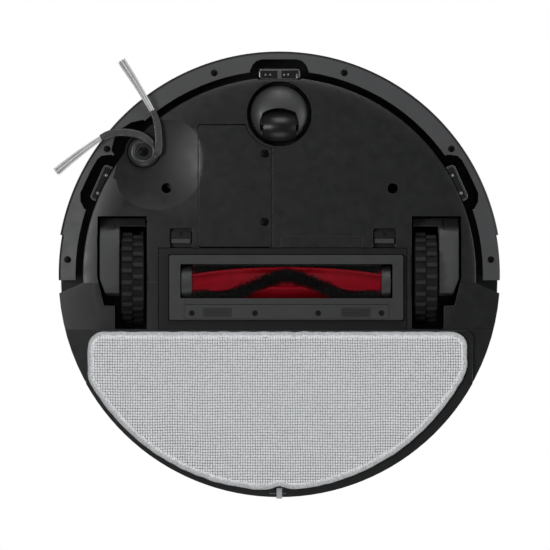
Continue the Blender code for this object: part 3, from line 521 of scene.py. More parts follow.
MATT = moulded("matte_black_plastic_fine", 0.0075, 0.38, specular=0.5)
SATIN = moulded("satin_black_plastic_fine", 0.016, 0.34, 0.25, 0.008)
CHARCOAL = moulded("charcoal_plastic_fine", 0.052, 0.5, 0.4, 0.02)
COVER_CHARCOAL = moulded("brush_cover_plastic", 0.030, 0.5, 0.4, 0.02)
ARM_CHARCOAL = moulded("wheel_arm_plastic", 0.050, 0.55, 0.4, 0.02)
MOTOR = moulded("motor_housing_fine", 0.05, 0.5)
HUB_FINISH = moulded("side_brush_hub_plastic", 0.030, 0.34, 0.25, 0.006)
DOME = moulded("caster_dome_plastic", 0.040, 0.42, 0.3, 0.01)
EDGE_BLACK = moulded("bumper_edge_plastic", 0.016, 0.5, 0.3, 0.01)
WINDOW_EDGE = moulded("window_edge_plastic", 0.15, 0.5, 0.3, 0.004, specular=0.4)
CHAMBER_BLACK = moulded("brush_surround_plastic", 0.0042, 0.5, 0.3, 0.02, specular=0.35)
FRAME_BLACK = moulded("brush_chamber_plastic", 0.003, 0.6, 0.3, 0.02, specular=0.2)
STRIP_CHARCOAL = moulded("wiper_strip_plastic", 0.021, 0.5, 0.4, 0.02)
PAD_GREY = moulded("knurled_pad_plastic", 0.026, 0.5, 0.3, 0.01)
TRIM = moulded("glossy_black_trim", 0.008, 0.18, 0.3, 0.004)
TAB_GREY = moulded("tab_grey_plastic", 0.38, 0.5)
LIGHT_LINE = moulded("light_grey_trim", 0.16, 0.4, 0.3, 0.01)
TYRE = rubber("tyre_rubber_fine", 0.011, 0.72)
# Painted shade: a darker rubber colour for the floor between the tread blocks.
TYRE_GROOVE_SHADE = rubber("tyre_groove_painted_shade", 0.002, 0.85)
CASTER_RUBBER = rubber("caster_gloss_rubber", 0.006, 0.34, 0.6, 0.004)
RED = red_rubber()
CLEAR_GREY = clear_grey_rubber()
NYLON = nylon("nylon_filament", 0.36)
# Painted highlight: a paler filament colour that stands in for the streaks of light along the bundles.
NYLON_PAINTED_HIGHLIGHT = nylon("nylon_painted_highlight", 0.66)
PILE = black_pile()
WEAVE = cloth("microfibre_loops", 0.90, 0.99)
# Painted shade: a darker cloth colour on the loops' slopes and in the gaps between them.
WEAVE_GAP_SHADE = cloth("microfibre_painted_gap_shade", 0.32, 0.44)
HEM = cloth("overlocked_hem", 0.46, 0.68)
LENS = smoked("smoked_sensor_lens", 0.012, 0.08)
CLEAR_LENS = smoked("clear_sensor_lens", 0.45, 0.06, 0.6)
SMOKED_BIN = smoked("smoked_dustbin", 0.03, 0.16)
SCREW = metal("black_oxide_screw", 0.012, 0.42)
DARK_SCREW = moulded("black_cover_screw", 0.003, 0.6, specular=0.15)
STEEL = metal("bright_steel_fine", 0.60, 0.22, (1.0, 0.05, 1.0))
CONTACT = metal("plated_contact_fine", 0.72, 0.24, (0.05, 1.0, 1.0))
BATTERY_WRAP = moulded("battery_wrap_fine", 0.04, 0.4)
BOARD = printed_board()
PAPER = pleated_paper()


# ---- camera, light and floor ----

VIEW_CENTRE = Vector((-3.4, 0.8, 0.0))  # the middle of the picture, from the middle of the body
VIEW_WIDTH = 435.0  # what the picture spans at the floor
VIEW_DISTANCE = 6000.0
SENSOR_WIDTH = 36.0


def camera():
    """Looks straight up at the underside, with the front at the top of the picture."""
    data = bpy.data.cameras.new("camera")
    data.sensor_width = SENSOR_WIDTH
    data.lens = SENSOR_WIDTH * VIEW_DISTANCE / VIEW_WIDTH
    data.clip_end = 50.0
    obj = new_object("camera", data)
    obj.location = (VIEW_CENTRE + DOWN * VIEW_DISTANCE) * MM
    obj.rotation_euler = (math.pi, 0.0, 0.0)
    bpy.context.scene.camera = obj


LIGHTS = (  # name, place and size in metres, watts
    # From below: a strong light on the machine's right and softer ones round the rest.
    ("key_below", (-0.85, -0.06, -1.38), 0.5, 8.0),
    ("front_below", (0.05, -1.20, -0.98), 0.8, 8.0),
    ("left_below", (1.35, 0.10, -0.80), 0.9, 7.5),
    ("rear_below", (0.0, 1.40, -0.85), 0.9, 5.0),
    # From above, for the side that faces up.
    ("key_above", (-1.2, -1.0, 1.6), 1.2, 42.0),
    ("fill_above", (1.5, -0.3, 1.2), 1.2, 20.0),
    ("rear_above", (0.2, 1.6, 1.1), 1.0, 22.0),
)
SKY_COLOUR, SKY_STRENGTH = (0.9, 0.95, 1.0, 1.0), 0.10
WHITE = (1.0, 1.0, 1.0, 1.0)
FLOOR_COLOUR, FLOOR_HALF, FLOOR_LEVEL = (0.80, 0.80, 0.79, 1.0), 2000.0, -0.8


def area_light(name, place, size, watts):
    """A soft square light that faces the middle of the body."""
    data = bpy.data.lights.new(name, "AREA")
    data.shape = "SQUARE"
    data.size = size
    data.energy = watts
    obj = new_object(name, data)
    obj.location = place
    obj.rotation_euler = (-Vector(place)).to_track_quat("-Z", "Y").to_euler()


def mixed(tree, factor, first, second, output):
    """Sends a mix of two shaders to an output, as factor goes from the first to the second."""
    mix = tree.nodes.new("ShaderNodeMixShader")
    for socket, source in zip(mix.inputs, (factor, first, second)):
        tree.links.new(source, socket)
    tree.links.new(mix.outputs[0], output)


def studio():
    """A white backdrop that only the camera sees, with a dim sky and soft lights."""
    scene = bpy.context.scene
    scene.view_settings.view_transform = "Standard"
    world = bpy.data.worlds.new("studio")
    scene.world = world
    world.use_nodes = True
    tree = world.node_tree
    sky = tree.nodes["Background"]
    sky.inputs["Color"].default_value = SKY_COLOUR
    sky.inputs["Strength"].default_value = SKY_STRENGTH
    paper = tree.nodes.new("ShaderNodeBackground")
    paper.inputs["Color"].default_value = WHITE
    seen = tree.nodes.new("ShaderNodeLightPath").outputs["Is Camera Ray"]
    mixed(tree, seen, sky.outputs[0], paper.outputs[0], tree.nodes["World Output"].inputs[0])
    for light in LIGHTS:
        area_light(*light)


def floor():
    """A pale floor that is seen from above only, so that the view from below stays open."""
    corners = rectangle(-FLOOR_HALF, -FLOOR_HALF, FLOOR_HALF, FLOOR_HALF)
    mesh = mesh_of("floor", [(x, y, FLOOR_LEVEL) for x, y in corners], [(0, 1, 2, 3)], smooth=False)
    shader = Shader("pale_floor", 0.8)
    shader.surface.inputs["Base Color"].default_value = FLOOR_COLOUR
    behind = shader.node("ShaderNodeNewGeometry").outputs["Backfacing"]
    clear = shader.node("ShaderNodeBsdfTransparent").outputs[0]
    output = shader.tree.nodes["Material Output"].inputs["Surface"]
    mixed(shader.tree, behind, shader.surface.outputs[0], clear, output)
    mesh.materials.append(shader.material)
    obj = new_object("floor", mesh)
    for rays in ("diffuse", "glossy", "transmission", "shadow"):
        setattr(obj, f"visible_{rays}", False)


camera()
studio()
floor()


# ---- mopping cloth ----

CLOTH_LOW, CLOTH_HIGH = low_high("mop_cloth")
REAR_CENTRE = Vector((0.0, 1.5))  # the rear half of the body is a circle round this point
CLOTH_RADIUS = CLOTH_HIGH.y - REAR_CENTRE.y + 0.6
CLOTH_SHIFT = -1.55  # the cloth is laid on a little to one side
CLOTH_ARC_CENTRE = REAR_CENTRE + Vector((-3.4, 0.8))
CLOTH_CORNER, CLOTH_REAR_CORNER = 12.0, 4.0
CLOTH_MIDDLE = Vector((0.0, 95.0))
TAB_PULL, TAB_PULL_WIDTH = 3.2, 7.0  # the tab draws the edge in
EDGE_WANDER = 0.55  # how far the cut edge strays
OUTLINE_RAYS, OUTLINE_REACH, OUTLINE_HALVINGS = 540, 190.0, 16
HEM_WIDTH = 4.6
STITCH, STEPS_PER_STITCH = 1.9, 4
WEAVE_INSET = HEM_WIDTH * 0.55
LOOP_X, LOOP_Y = 1.98, 2.16  # the pitch of the loops
LOOP_HEIGHT = 1.0
LOOP_STATIONS = ((0.0, 0.0), (0.12, 1.0), (0.88, 0.94))  # the gap and the two shoulders, with their heights
LINKED = 0.30  # the loops of a column stay linked at this share of their height


def ripple(x, y, length_x, length_y, layer):
    """Smooth noise over lengths in millimetres; each layer has its own."""
    return noise.noise(Vector((x / length_x, y / length_y, layer)))


def rounded_depth(a, b, corner):
    """The depth inside two edges whose corner is rounded."""
    if a < corner and b < corner:
        return corner - math.hypot(corner - a, corner - b)
    return min(a, b)


def inside_cloth(x, y, inset):
    """How far a point is inside the half moon's inset outline, or less than 0 outside it."""
    side = CLOTH_HIGH.x - abs(x - CLOTH_SHIFT)
    reach = (Vector((x, y)) - CLOTH_ARC_CENTRE).length
    rear = CLOTH_RADIUS - reach - TAB_PULL * math.exp(-(x / TAB_PULL_WIDTH) ** 2)
    depth = rounded_depth(side, y - CLOTH_LOW.y, CLOTH_CORNER)
    depth = rounded_depth(depth, rear, CLOTH_REAR_CORNER)
    return depth - inset + EDGE_WANDER * ripple(x, y, 8.0, 8.0, 2.0)


def cloth_outline(inset):
    """The half moon, smaller by inset all round."""
    outline = []
    for i in range(OUTLINE_RAYS):
        angle = math.tau * i / OUTLINE_RAYS
        ray = Vector((math.cos(angle), math.sin(angle)))
        near, far = 0.0, OUTLINE_REACH
        for _ in range(OUTLINE_HALVINGS):
            place = CLOTH_MIDDLE + ray * (near + far) / 2
            if inside_cloth(place.x, place.y, inset) > 0:
                near = (near + far) / 2
            else:
                far = (near + far) / 2
        outline.append(tuple(CLOTH_MIDDLE + ray * near))
    return outline


def pucker(x, y):
    """The slow waves of a cloth that is held by its edge, in millimetres."""
    return 0.45 * ripple(x, y, 34.0, 26.0, 3.1) + 0.2 * ripple(x, y, 11.0, 13.0, 9.0)


def loop_stations(low, high, pitch):
    """The stations of every loop along an axis, as (place, height, loop)."""
    stations = []
    count = int((high - low) / pitch) + 1
    for i in range(count):
        for share, height in LOOP_STATIONS:
            stations.append((low + (i + share) * pitch, height, i))
    return stations


def weave():
    """The looped face as a grid, and which of its faces are loops."""
    draw = random.Random(41)
    columns = loop_stations(CLOTH_LOW.x, CLOTH_HIGH.x, LOOP_X)
    rows = loop_stations(CLOTH_LOW.y, CLOTH_HIGH.y, LOOP_Y)
    loops = {}
    points, index = [], {}
    face_z = CLOTH_LOW.z + 1.0
    for r, (y, up_y, row) in enumerate(rows):
        for c, (x, up_x, column) in enumerate(columns):
            if inside_cloth(x, y, WEAVE_INSET) < 0:
                continue
            if (row, column) not in loops:
                size = draw.uniform(0.62, 1.12)
                loops[row, column] = (size, draw.uniform(-0.07, 0.07), draw.uniform(-0.07, 0.07))
            size, aside, along = loops[row, column]
            height = LOOP_HEIGHT * size * min(up_x, up_y) if up_x > 0 and up_y > 0 else 0.0
            if up_x > 0 and up_y == 0:
                height = LOOP_HEIGHT * LINKED
            move = 1.0 if height > 0 else 0.4
            index[r, c] = len(points)
            points.append((
                x + 0.5 * ripple(x, y, 60.0, 22.0, 0.7) + aside * move,
                y + 0.5 * ripple(x, y, 24.0, 60.0, 5.7) + along * move,
                face_z - height + pucker(x, y),
            ))
    faces, tops = [], set()
    for r, c in index:
        corners = ((r, c), (r + 1, c), (r + 1, c + 1), (r, c + 1))
        if all(corner in index for corner in corners):
            if r % 3 == 1 and c % 3 == 1:
                tops.add(len(faces))
            faces.append([index[corner] for corner in corners])
    return close_back(points, faces), tops


def onto_outline(x, y):
    """The point of the weave's outline that is nearest to a point close to it."""
    step = 0.01
    for _ in range(4):
        depth = inside_cloth(x, y, WEAVE_INSET)
        slope = Vector((
            inside_cloth(x + step, y, WEAVE_INSET) - inside_cloth(x - step, y, WEAVE_INSET),
            inside_cloth(x, y + step, WEAVE_INSET) - inside_cloth(x, y - step, WEAVE_INSET),
        ))
        if slope.length > 0:
            x, y = Vector((x, y)) - slope.normalized() * depth
    return x, y


def close_back(points, faces):
    """Pulls the grid's ragged border onto the outline and closes it behind with a wall and a back."""
    uses = {(a, b): True for face in faces for a, b in zip(face, face[1:] + face[:1])}
    border = {a: b for a, b in uses if (b, a) not in uses}
    chain = [next(iter(border))]
    while border[chain[-1]] != chain[0]:
        chain.append(border[chain[-1]])
    for i in chain:
        x, y, z = points[i]
        points[i] = (*onto_outline(x, y), z)
    first = len(points)
    back = CLOTH_HIGH.z - 0.2
    points += [(points[i][0], points[i][1], back) for i in chain]
    count = len(chain)
    for k in range(count):
        j = (k + 1) % count
        faces.append([chain[j], chain[k], first + k, first + j])
    faces.append([first + k for k in range(count)])
    used = sorted({i for face in faces for i in face})
    renumber = {old: new for new, old in enumerate(used)}
    kept = [points[i] for i in used]
    return outwards(mesh_of("weave", kept, [[renumber[i] for i in face] for face in faces], sharp=180.0))


def hem():
    """The overlocked edge: a flat roll along the outline, crossed by slanting stitches."""
    path = evenly([(x, y, 0.0) for x, y in cloth_outline(HEM_WIDTH * 0.46)], STITCH / STEPS_PER_STITCH)
    draw = random.Random(7)
    swell = [draw.uniform(0.7, 1.15) for _ in path]
    centre_z = (CLOTH_LOW.z + CLOTH_HIGH.z) / 2 + 0.15
    section = rounded_section(HEM_WIDTH, CLOTH_HIGH.z - CLOTH_LOW.z - 0.9, 3, 2.2)

    def stitched(i):
        ring = []
        for across, height in section:
            slant = across / HEM_WIDTH * 1.4
            wave = 0.5 + 0.5 * math.cos(math.tau * (i / STEPS_PER_STITCH + slant))
            grow = 1.0 + 0.30 * wave * swell[i - i % STEPS_PER_STITCH]
            ring.append((across * (1.0 + 0.05 * wave), height * grow))
        return ring

    path = [Vector((p.x, p.y, centre_z + 0.35 * pucker(p.x, p.y))) for p in path]
    return sweep("hem", path, stitched, loop=True, sharp=180.0)


def mop_pieces():
    stitched_edge = add("mop_cloth_hem", hem(), HEM, "mop")
    mesh, tops = weave()
    face = add("mop_cloth_weave", mesh, WEAVE, "mop", ("mop_cloth",))
    mesh.materials.append(WEAVE_GAP_SHADE)
    # The loops' tops and the border keep the loop colour; every other face gets the painted shade.
    for polygon in mesh.polygons:
        place = polygon.center / MM
        border = inside_cloth(place.x, place.y, HEM_WIDTH) < 0.0
        polygon.material_index = 0 if border or polygon.index in tops else 1
    area = abs(outline_area(cloth_outline(0.0))) * MM * MM


def outline_area(outline):
    following = outline[1:] + outline[:1]
    return sum(x0 * y1 - x1 * y0 for (x0, y0), (x1, y1) in zip(outline, following)) / 2


# ---- screws ----

BUMPER_SCREWS = ((51.6, -159.4), (136.5, -99.2), (167.8, -11.4))  # on the left; the right mirrors them
COVER_SCREWS = (-69.2, -19.2, 30.8, 80.9)
SCREW_MESHES = {}


def screw_mesh(radius, length):
    """A pan head with a cross recess, facing down, its face at height 0 and its shank above."""
    key = (round(radius, 2), round(length, 2))
    if key not in SCREW_MESHES:
        head = radius * 0.42
        profile = [
            (0.0, length), (radius * 0.45, length), (radius * 0.45, head), (radius, head),
            (radius, head * 0.55), (radius * 0.93, head * 0.25), (radius * 0.75, head * 0.06), (0.0, 0.0),
        ]
        body = turned("screw", profile, (0.0, 0.0, 0.0), steps=32)
        arm, half, deep = radius * 0.62, radius * 0.13, head * 0.8
        cross = [block((-x, -y, -1.0), (x, y, deep)) for x, y in ((arm, half), (half, arm))]
        SCREW_MESHES[key] = shaded(cut_by(body, *cross), 30)
    return SCREW_MESHES[key]


def screw(name, place, radius, length, body, turn=0.0, replaces=(), finish=SCREW):
    mesh = screw_mesh(radius, length).copy()
    mesh.transform(Matrix.Translation(Vector(place) * MM) @ Matrix.Rotation(math.radians(turn), 4, "Z"))
    return add(name, mesh, finish, body, replaces)


def packed_screw(node, body, turn):
    """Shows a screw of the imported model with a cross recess."""
    low, high = low_high(node)
    place = ((low.x + high.x) / 2, (low.y + high.y) / 2, low.z)
    screw(node + "_head", place, (high.x - low.x) / 2, high.z - low.z, body, turn, (node,))


def screws():
    packed_screw("battery_cover_screw_front", "chassis", 20.0)
    packed_screw("battery_cover_screw_rear", "chassis", 20.0)
    packed_screw("side_brush_screw", "side_brush", 35.0)
    head_z = low_high("bumper_shell")[0].z + 1.8
    for side_name, side in SIDES.items():
        for i, (x, y) in enumerate(BUMPER_SCREWS):
            name = f"bumper_screw_{side_name}_{i + 1}"
            screw(name, (side * x, y, head_z), 2.2, 1.2, "bumper", 40.0 * i + 10.0)
    face = low_high("cover_wiper_plate")[0].z
    for i, x in enumerate(COVER_SCREWS):
        cover_screw(i, x, face)


def cover_screw(i, x, face):
    """A screw on a dark washer, on the plate behind the roller."""
    place = Vector((x, 31.0, face))
    ring = turned(f"ring_{i}", [(0.0, 0.3), (2.4, 0.3), (2.3, -0.12), (0.0, -0.12)], place, steps=32)
    add(f"cover_screw_ring_{i + 1}", ring, FRAME_BLACK, "brush_cover")
    place = place + Vector((0.0, 0.0, -0.26))
    screw(f"cover_screw_{i + 1}", place, 1.5, 1.2, "brush_cover", 15.0 + 20.0 * i, finish=DARK_SCREW)


# ---- drive wheels ----

TREADS = 25
TREAD_DEPTH = 2.4
BLOCK = (0.04, 0.50, 0.06)  # where a block starts and stops in its pitch, and how long its edges are
TREAD_STATIONS = (0.0, 0.04, 0.10, 0.25, 0.40, 0.46, 0.50, 0.54, 0.60, 0.75, 0.90, 0.96)
TREAD_WIDTHS = (-1.0, -0.96, -0.90, -0.5, -0.05, 0.0, 0.05, 0.5, 0.90, 0.96, 1.0)
ROLLING_RADIUS = (low_high("wheel_tyre_left")[1].z - low_high("wheel_tyre_left")[0].z) / 2


def step_profile(share, start, stop, edge):
    """1 between start and stop of a pitch, less near them, 0 outside; all are shares of the pitch."""
    share %= 1.0
    if share < start or share > stop:
        return 0.0
    return min(1.0, (share - start) / edge, (stop - share) / edge)


def tyre_ring(share, half, outer):
    """The tyre's section as (x, radius) points; share is the place in the pitch."""
    ring = []
    for w in TREAD_WIDTHS:
        offset = 0.0 if w < 0 else 0.5
        shoulder = 1.0 if abs(w) <= 0.9 else (1.0 - (abs(w) - 0.9) / 0.1 * 0.75)
        block_height = 0.0 if w == 0.0 else step_profile(share + offset, *BLOCK) * shoulder
        ring.append((w * half, outer - TREAD_DEPTH * (1.0 - block_height) - (1.0 - shoulder) * 2.0))
    inner = outer - 8.0
    return ring + [(half, inner + 1.5), (half - 0.8, inner), (0.8 - half, inner), (-half, inner + 1.5)]


def tyre_mesh(name, node):
    """Two rows of staggered blocks on a ring."""
    low, high = low_high(node)
    centre = (low + high) / 2
    rings = []
    for pitch in range(TREADS):
        for share in TREAD_STATIONS:
            angle = math.tau * (pitch + share) / TREADS
            rings.append([
                centre + Vector((x, radius * math.cos(angle), radius * math.sin(angle)))
                for x, radius in tyre_ring(share, (high.x - low.x) / 2, ROLLING_RADIUS)
            ])
    return rings_mesh(name, rings, loop=True, sharp=32.0)


def tyres():
    for side_name in SIDES:
        node = f"wheel_tyre_{side_name}"
        mesh = tyre_mesh(f"{node}_tread", node)
        body = f"drive_wheel_{side_name}"
        tread = add(f"{node}_tread", mesh, TYRE, body, (node,))
        painted_groove_shade(tread, middle(node))
        softened(tread, 0.15, 1, 50.0)


def painted_groove_shade(tyre, centre):
    """The floor between the blocks is coloured darker than their tops: painted shade in the grooves."""
    tyre.data.materials.append(TYRE_GROOVE_SHADE)
    floor_radius = ROLLING_RADIUS - 0.45 * TREAD_DEPTH
    for polygon in tyre.data.polygons:
        off = polygon.center / MM - centre
        if math.hypot(off.y, off.z) < floor_radius:
            polygon.material_index = 1


# ---- main brush ----

ROLLER_LOW, ROLLER_HIGH = low_high("roller_rubber")
ROLLER_AXIS = (ROLLER_LOW + ROLLER_HIGH) / 2
ROLLER_HALF = (ROLLER_HIGH.x - ROLLER_LOW.x) / 2
ROLLER_TIP = (ROLLER_HIGH.z - ROLLER_LOW.z) / 2
ROLLER_CORE = 12.6
PILE_COUNT, SEAL_COUNT = 15000, 2600
ROLLER_FINS = 6
FIN_START, FIN_SWEEP = math.radians(-45), math.radians(24)
BLADE, BLADE_EDGE, FIN_FOOT = math.radians(3.4), math.radians(3.2), math.radians(24)
PILE_START, PILE_END = math.radians(-67), math.radians(-139)  # its turn at the middle and the ends
PILE_REACH, PILE_POINT = 47.0, 13.0  # where the row reaches the rear edge, and how round its point is
PILE_HALF = math.radians(20)


def off_middle(x):
    return min(1.0, abs(x - ROLLER_AXIS.x) / ROLLER_HALF)


def roller_surface(x, radius, turn):
    """A point on the roller; turn is from the front, and goes down as it gets more negative."""
    return Vector((x, ROLLER_AXIS.y - radius * math.cos(turn), ROLLER_AXIS.z + radius * math.sin(turn)))


def pile_turn(x):
    """The bristle row's place round the roller: a wide V with a soft point, then straight to the ends."""
    run = math.hypot(x - ROLLER_AXIS.x, PILE_POINT) - PILE_POINT
    whole = math.hypot(PILE_REACH, PILE_POINT) - PILE_POINT
    share = run / whole
    if share > 0.85:
        share = 0.85 + 0.15 * (1.0 - math.exp(-(share - 0.85) / 0.15))
    return PILE_START + (PILE_END - PILE_START) * share


def fin_turn(x, fin):
    return FIN_START - FIN_SWEEP * off_middle(x) ** 2 + fin * math.tau / ROLLER_FINS


def angle_between(a, b):
    return abs((a - b + math.pi) % math.tau - math.pi)


def fin_height(x, turn):
    """A fin leans on a broad foot and ends in a rounded blade; it's left out along the bristle row."""
    best = 0.0
    for fin in range(ROLLER_FINS):
        off = angle_between(turn, fin_turn(x, fin))
        blade = 1.0 if off < BLADE else max(0.0, 1.0 - (off - BLADE) / BLADE_EDGE)
        foot = max(0.0, 1.0 - off / FIN_FOOT) ** 2 * 0.35
        best = max(best, blade, foot)
    clear = (angle_between(turn, pile_turn(x)) - PILE_HALF) / math.radians(5)
    return best * max(0.0, min(1.0, clear))


def roller_mesh():
    stations, steps = 100, 240
    rings = []
    for i in range(stations + 1):
        x = ROLLER_LOW.x + (ROLLER_HIGH.x - ROLLER_LOW.x) * i / stations
        ring = []
        for k in range(steps):
            turn = math.tau * k / steps
            radius = ROLLER_CORE + (ROLLER_TIP - ROLLER_CORE) * fin_height(x, turn)
            ring.append(roller_surface(x, radius, turn))
        rings.append(ring)
    return rings_mesh("roller", rings, sharp=60.0)


def filament(points, faces, root, tip, width, sides=3, bend=Vector((0.0, 0.0, 0.0)), spans=1):
    """Adds one tapered filament to a list of points and faces."""
    along = (tip - root).normalized()
    aside = along.orthogonal().normalized()
    other = along.cross(aside)
    first = len(points)
    for s in range(spans + 1):
        share = s / spans
        centre = root.lerp(tip, share) + bend * (share * (1.0 - share) * 4.0)
        reach = width / 2 * (1.0 - 0.45 * share)
        for k in range(sides):
            a = math.tau * k / sides
            points.append(centre + (aside * math.cos(a) + other * math.sin(a)) * reach)
    for s in range(spans):
        a, b = first + s * sides, first + (s + 1) * sides
        for k in range(sides):
            j = (k + 1) % sides
            faces.append((a + k, a + j, b + j, b + k))
    faces.append(tuple(first + k for k in reversed(range(sides))))
    faces.append(tuple(first + spans * sides + k for k in range(sides)))


def roller_pile():
    """Short bristles that stand in the V, and a dense low pile in front of the first fin."""
    draw = random.Random(5)
    points, faces = [], []
    for i in range(PILE_COUNT):
        x = draw.uniform(ROLLER_LOW.x + 0.8, ROLLER_HIGH.x - 0.8)
        low = i % 3 == 0
        if low:
            turn = fin_turn(x, 0) + math.radians(draw.uniform(4.0, 46.0))
            reach = ROLLER_TIP - 1.4 - draw.random() * 1.6
        else:
            spread = draw.gauss(0.0, PILE_HALF * 0.52)
            turn = pile_turn(x) + max(-1.25 * PILE_HALF, min(1.25 * PILE_HALF, spread))
            reach = ROLLER_TIP - 0.1 - draw.random() ** 2 * 1.8
        root = roller_surface(x, ROLLER_CORE - 0.2, turn)
        tip = roller_surface(x + draw.gauss(0.0, 0.8), reach, turn + draw.gauss(0.0, 0.05))
        filament(points, faces, root, tip, 0.4)
    return outwards(mesh_of("pile", points, faces, smooth=False))


def roller_pieces():
    roller = roller_mesh()
    add("roller_rubber_finned", roller, RED, "main_brush", ("roller_rubber",))
    add("roller_bristle_row", roller_pile(), PILE, "main_brush", ("roller_bristle_strip",))


def seal_pile():
    """A short brush along the front edge of the cover's opening, which keeps off the roller."""
    low = low_high("brush_cover")[0]
    draw = random.Random(9)
    points, faces = [], []
    for _ in range(SEAL_COUNT):
        x = draw.uniform(ROLLER_LOW.x, ROLLER_HIGH.x)
        z = draw.uniform(low.z + 0.5, low.z + 1.3)
        root = Vector((x, -8.0, z))
        tip = root + Vector((draw.gauss(0.0, 0.25), draw.uniform(1.2, 2.2), draw.uniform(-0.1, 0.5)))
        filament(points, faces, root, tip, 0.22)
    return outwards(mesh_of("seal", points, faces, smooth=False))


# ---- brush cover details ----

PAD_PITCH, PAD_HEIGHT = 1.5, 0.4

def knurled_pad(name, low, high, z):
    """A raised grip of small four-sided points."""
    columns = round((high[0] - low[0]) / PAD_PITCH)
    rows = round((high[1] - low[1]) / PAD_PITCH)
    shares = (0.0, 0.25, 0.75)
    rings = []
    for r in range(3 * rows + 1):
        ring = []
        for c in range(3 * columns + 1):
            x = low[0] + (high[0] - low[0]) * (c // 3 + shares[c % 3]) / columns
            y = low[1] + (high[1] - low[1]) * (r // 3 + shares[r % 3]) / rows
            up = PAD_HEIGHT if r % 3 and c % 3 else 0.0
            ring.append(Vector((x, y, z - up)))
        rings.append(ring)
    obj = loose(rings_mesh(name, rings, closed_rings=False, caps=False, sharp=10.0))
    solid = obj.modifiers.new("thick", "SOLIDIFY")
    solid.thickness = PAD_HEIGHT * MM
    solid.offset = -1.0
    return applied(obj)


def brush_cover_pieces():
    low, high = low_high("cover_wiper_plate")
    for name, x0, x1 in (("right", -59.7, -38.1), ("left", 50.1, 71.8)):
        pad = knurled_pad(name, (x0, 27.3), (x1, 33.3), low.z - 0.05)
        add(f"grip_pad_{name}", pad, PAD_GREY, "brush_cover")
    # The wiper strip slopes from the plate up to the edge of the opening.
    x0, x1 = low.x + 0.3, high.x - 0.7
    edge = low_high("brush_cover")[0].z
    section = [(19.4, edge - 0.1), (24.2, low.z + 0.1), (24.2, low.z + 0.7), (19.4, edge + 0.4)]
    strip = rings_mesh("wiper", [[(x, y, z) for y, z in section] for x in (x0, x1)], sharp=10.0)
    softened(add("wiper_strip", strip, STRIP_CHARCOAL, "brush_cover"), 0.25)
    seam = block((x0, 24.0, low.z - 0.05), (x1, 24.35, low.z + 0.4))
    add("wiper_seam", seam, FRAME_BLACK, "brush_cover")
    add("front_seal_pile", seal_pile(), PILE, "brush_cover")


def latch_marks():
    """A raised grip bar on each latch, and a small arrow that shows which way it slides."""
    for name, x in (("right", -77.8), ("left", 83.5)):
        low, high = low_high(f"cover_latch_{name}")
        z = low.z
        bar = block((low.x + 0.9, -27.8, z - 0.12), (high.x - 0.9, -24.4, z + 0.4))
        grip = add(f"latch_grip_{name}", bar, COVER_CHARCOAL, f"cover_latch_{name}")
        softened(grip, 0.2, 2)
        outline = [(x - 1.7, -33.0), (x + 1.7, -33.0), (x, -29.8)]
        mark = slab("mark", outline, z + 2.2, z + 3.0, sharp=10.0)
        add(f"latch_arrow_{name}", mark, FRAME_BLACK, f"cover_latch_{name}")


# ---- side brush ----

HUB_LOW, HUB_HIGH = low_high("side_brush_hub")
HUB_AXIS = Vector(((HUB_LOW.x + HUB_HIGH.x) / 2, (HUB_LOW.y + HUB_HIGH.y) / 2, 0.0))
ARM_LEVEL = 6.5
ARM_WIDTH, ARM_THICKNESS = 6.0, 2.5
ARM_PATHS = {
    "front": [
        (-99.4, -91.6), (-96.4, -96.4), (-95.5, -102.8), (-95.9, -112.1), (-97.3, -121.4), (-100.4, -129.4),
    ],
    "outer": [
        (-98.9, -99.6), (-103.6, -105.6), (-112.2, -110.6), (-125.1, -112.2), (-134.6, -110.9),
        (-141.4, -107.9),
    ],
}
ARM_TIPS = {"front": (-125.3, -169.2), "outer": (-176.9, -80.3)}
BRISTLES_PER_ARM = 46


def side_brush_hub():
    """A domed ring round a sunk screw."""
    profile = [
        (0.0, 18.6), (4.0, 18.6), (4.0, 14.0), (12.4, 14.0), (12.4, 11.2), (12.25, 9.9), (11.8, 8.7),
        (11.0, 7.6), (10.0, 6.8), (8.9, 6.35), (7.9, 6.35), (7.0, 6.8), (6.3, 7.6), (5.9, 8.7), (5.1, 8.7),
        (5.0, 7.4), (4.75, 7.1), (4.4, 7.1), (4.15, 7.4), (4.05, 9.0), (0.0, 9.0),
    ]
    mesh = turned("hub", profile, HUB_AXIS, steps=96, sharp=50.0)
    add("side_brush_hub_domed", mesh, HUB_FINISH, "side_brush", ("side_brush_hub",))


def arm_path(name):
    """The arm's middle line: it leaves the hub a little higher than it ends."""
    flat = smooth_path([Vector((x, y, ARM_LEVEL)) for x, y in ARM_PATHS[name]], 10)
    for i, point in enumerate(flat):
        point.z += 3.4 * max(0.0, 1.0 - i / 9.0) - 0.5 * max(0.0, 1.0 - abs(i - 11) / 8.0)
    return flat


def side_brush_arm(name):
    path = arm_path(name)
    section = rounded_section(ARM_WIDTH, ARM_THICKNESS, 5, 3.2)
    last = len(path) - 1

    def strap(i):
        narrow = 1.0 - 0.16 * max(0.0, (i - 0.7 * last) / (0.3 * last)) - 0.6 * max(0.0, 1.0 - i / 9.0)
        sleeve = 1.12 if i > 0.8 * last else 1.0
        ring = []
        for across, height in section:
            ridge = 1.0 + 0.22 * min(1.0, abs(across) / (0.42 * ARM_WIDTH)) ** 6
            ring.append((across * narrow, height * ridge * sleeve))
        return ring

    mesh = sweep(f"arm_{name}", path, strap, sharp=60.0)
    node = f"side_brush_arm_{name}"
    add(f"{node}_moulded", mesh, CLEAR_GREY, "side_brush", (node,))
    side_brush_bristles(name, path)


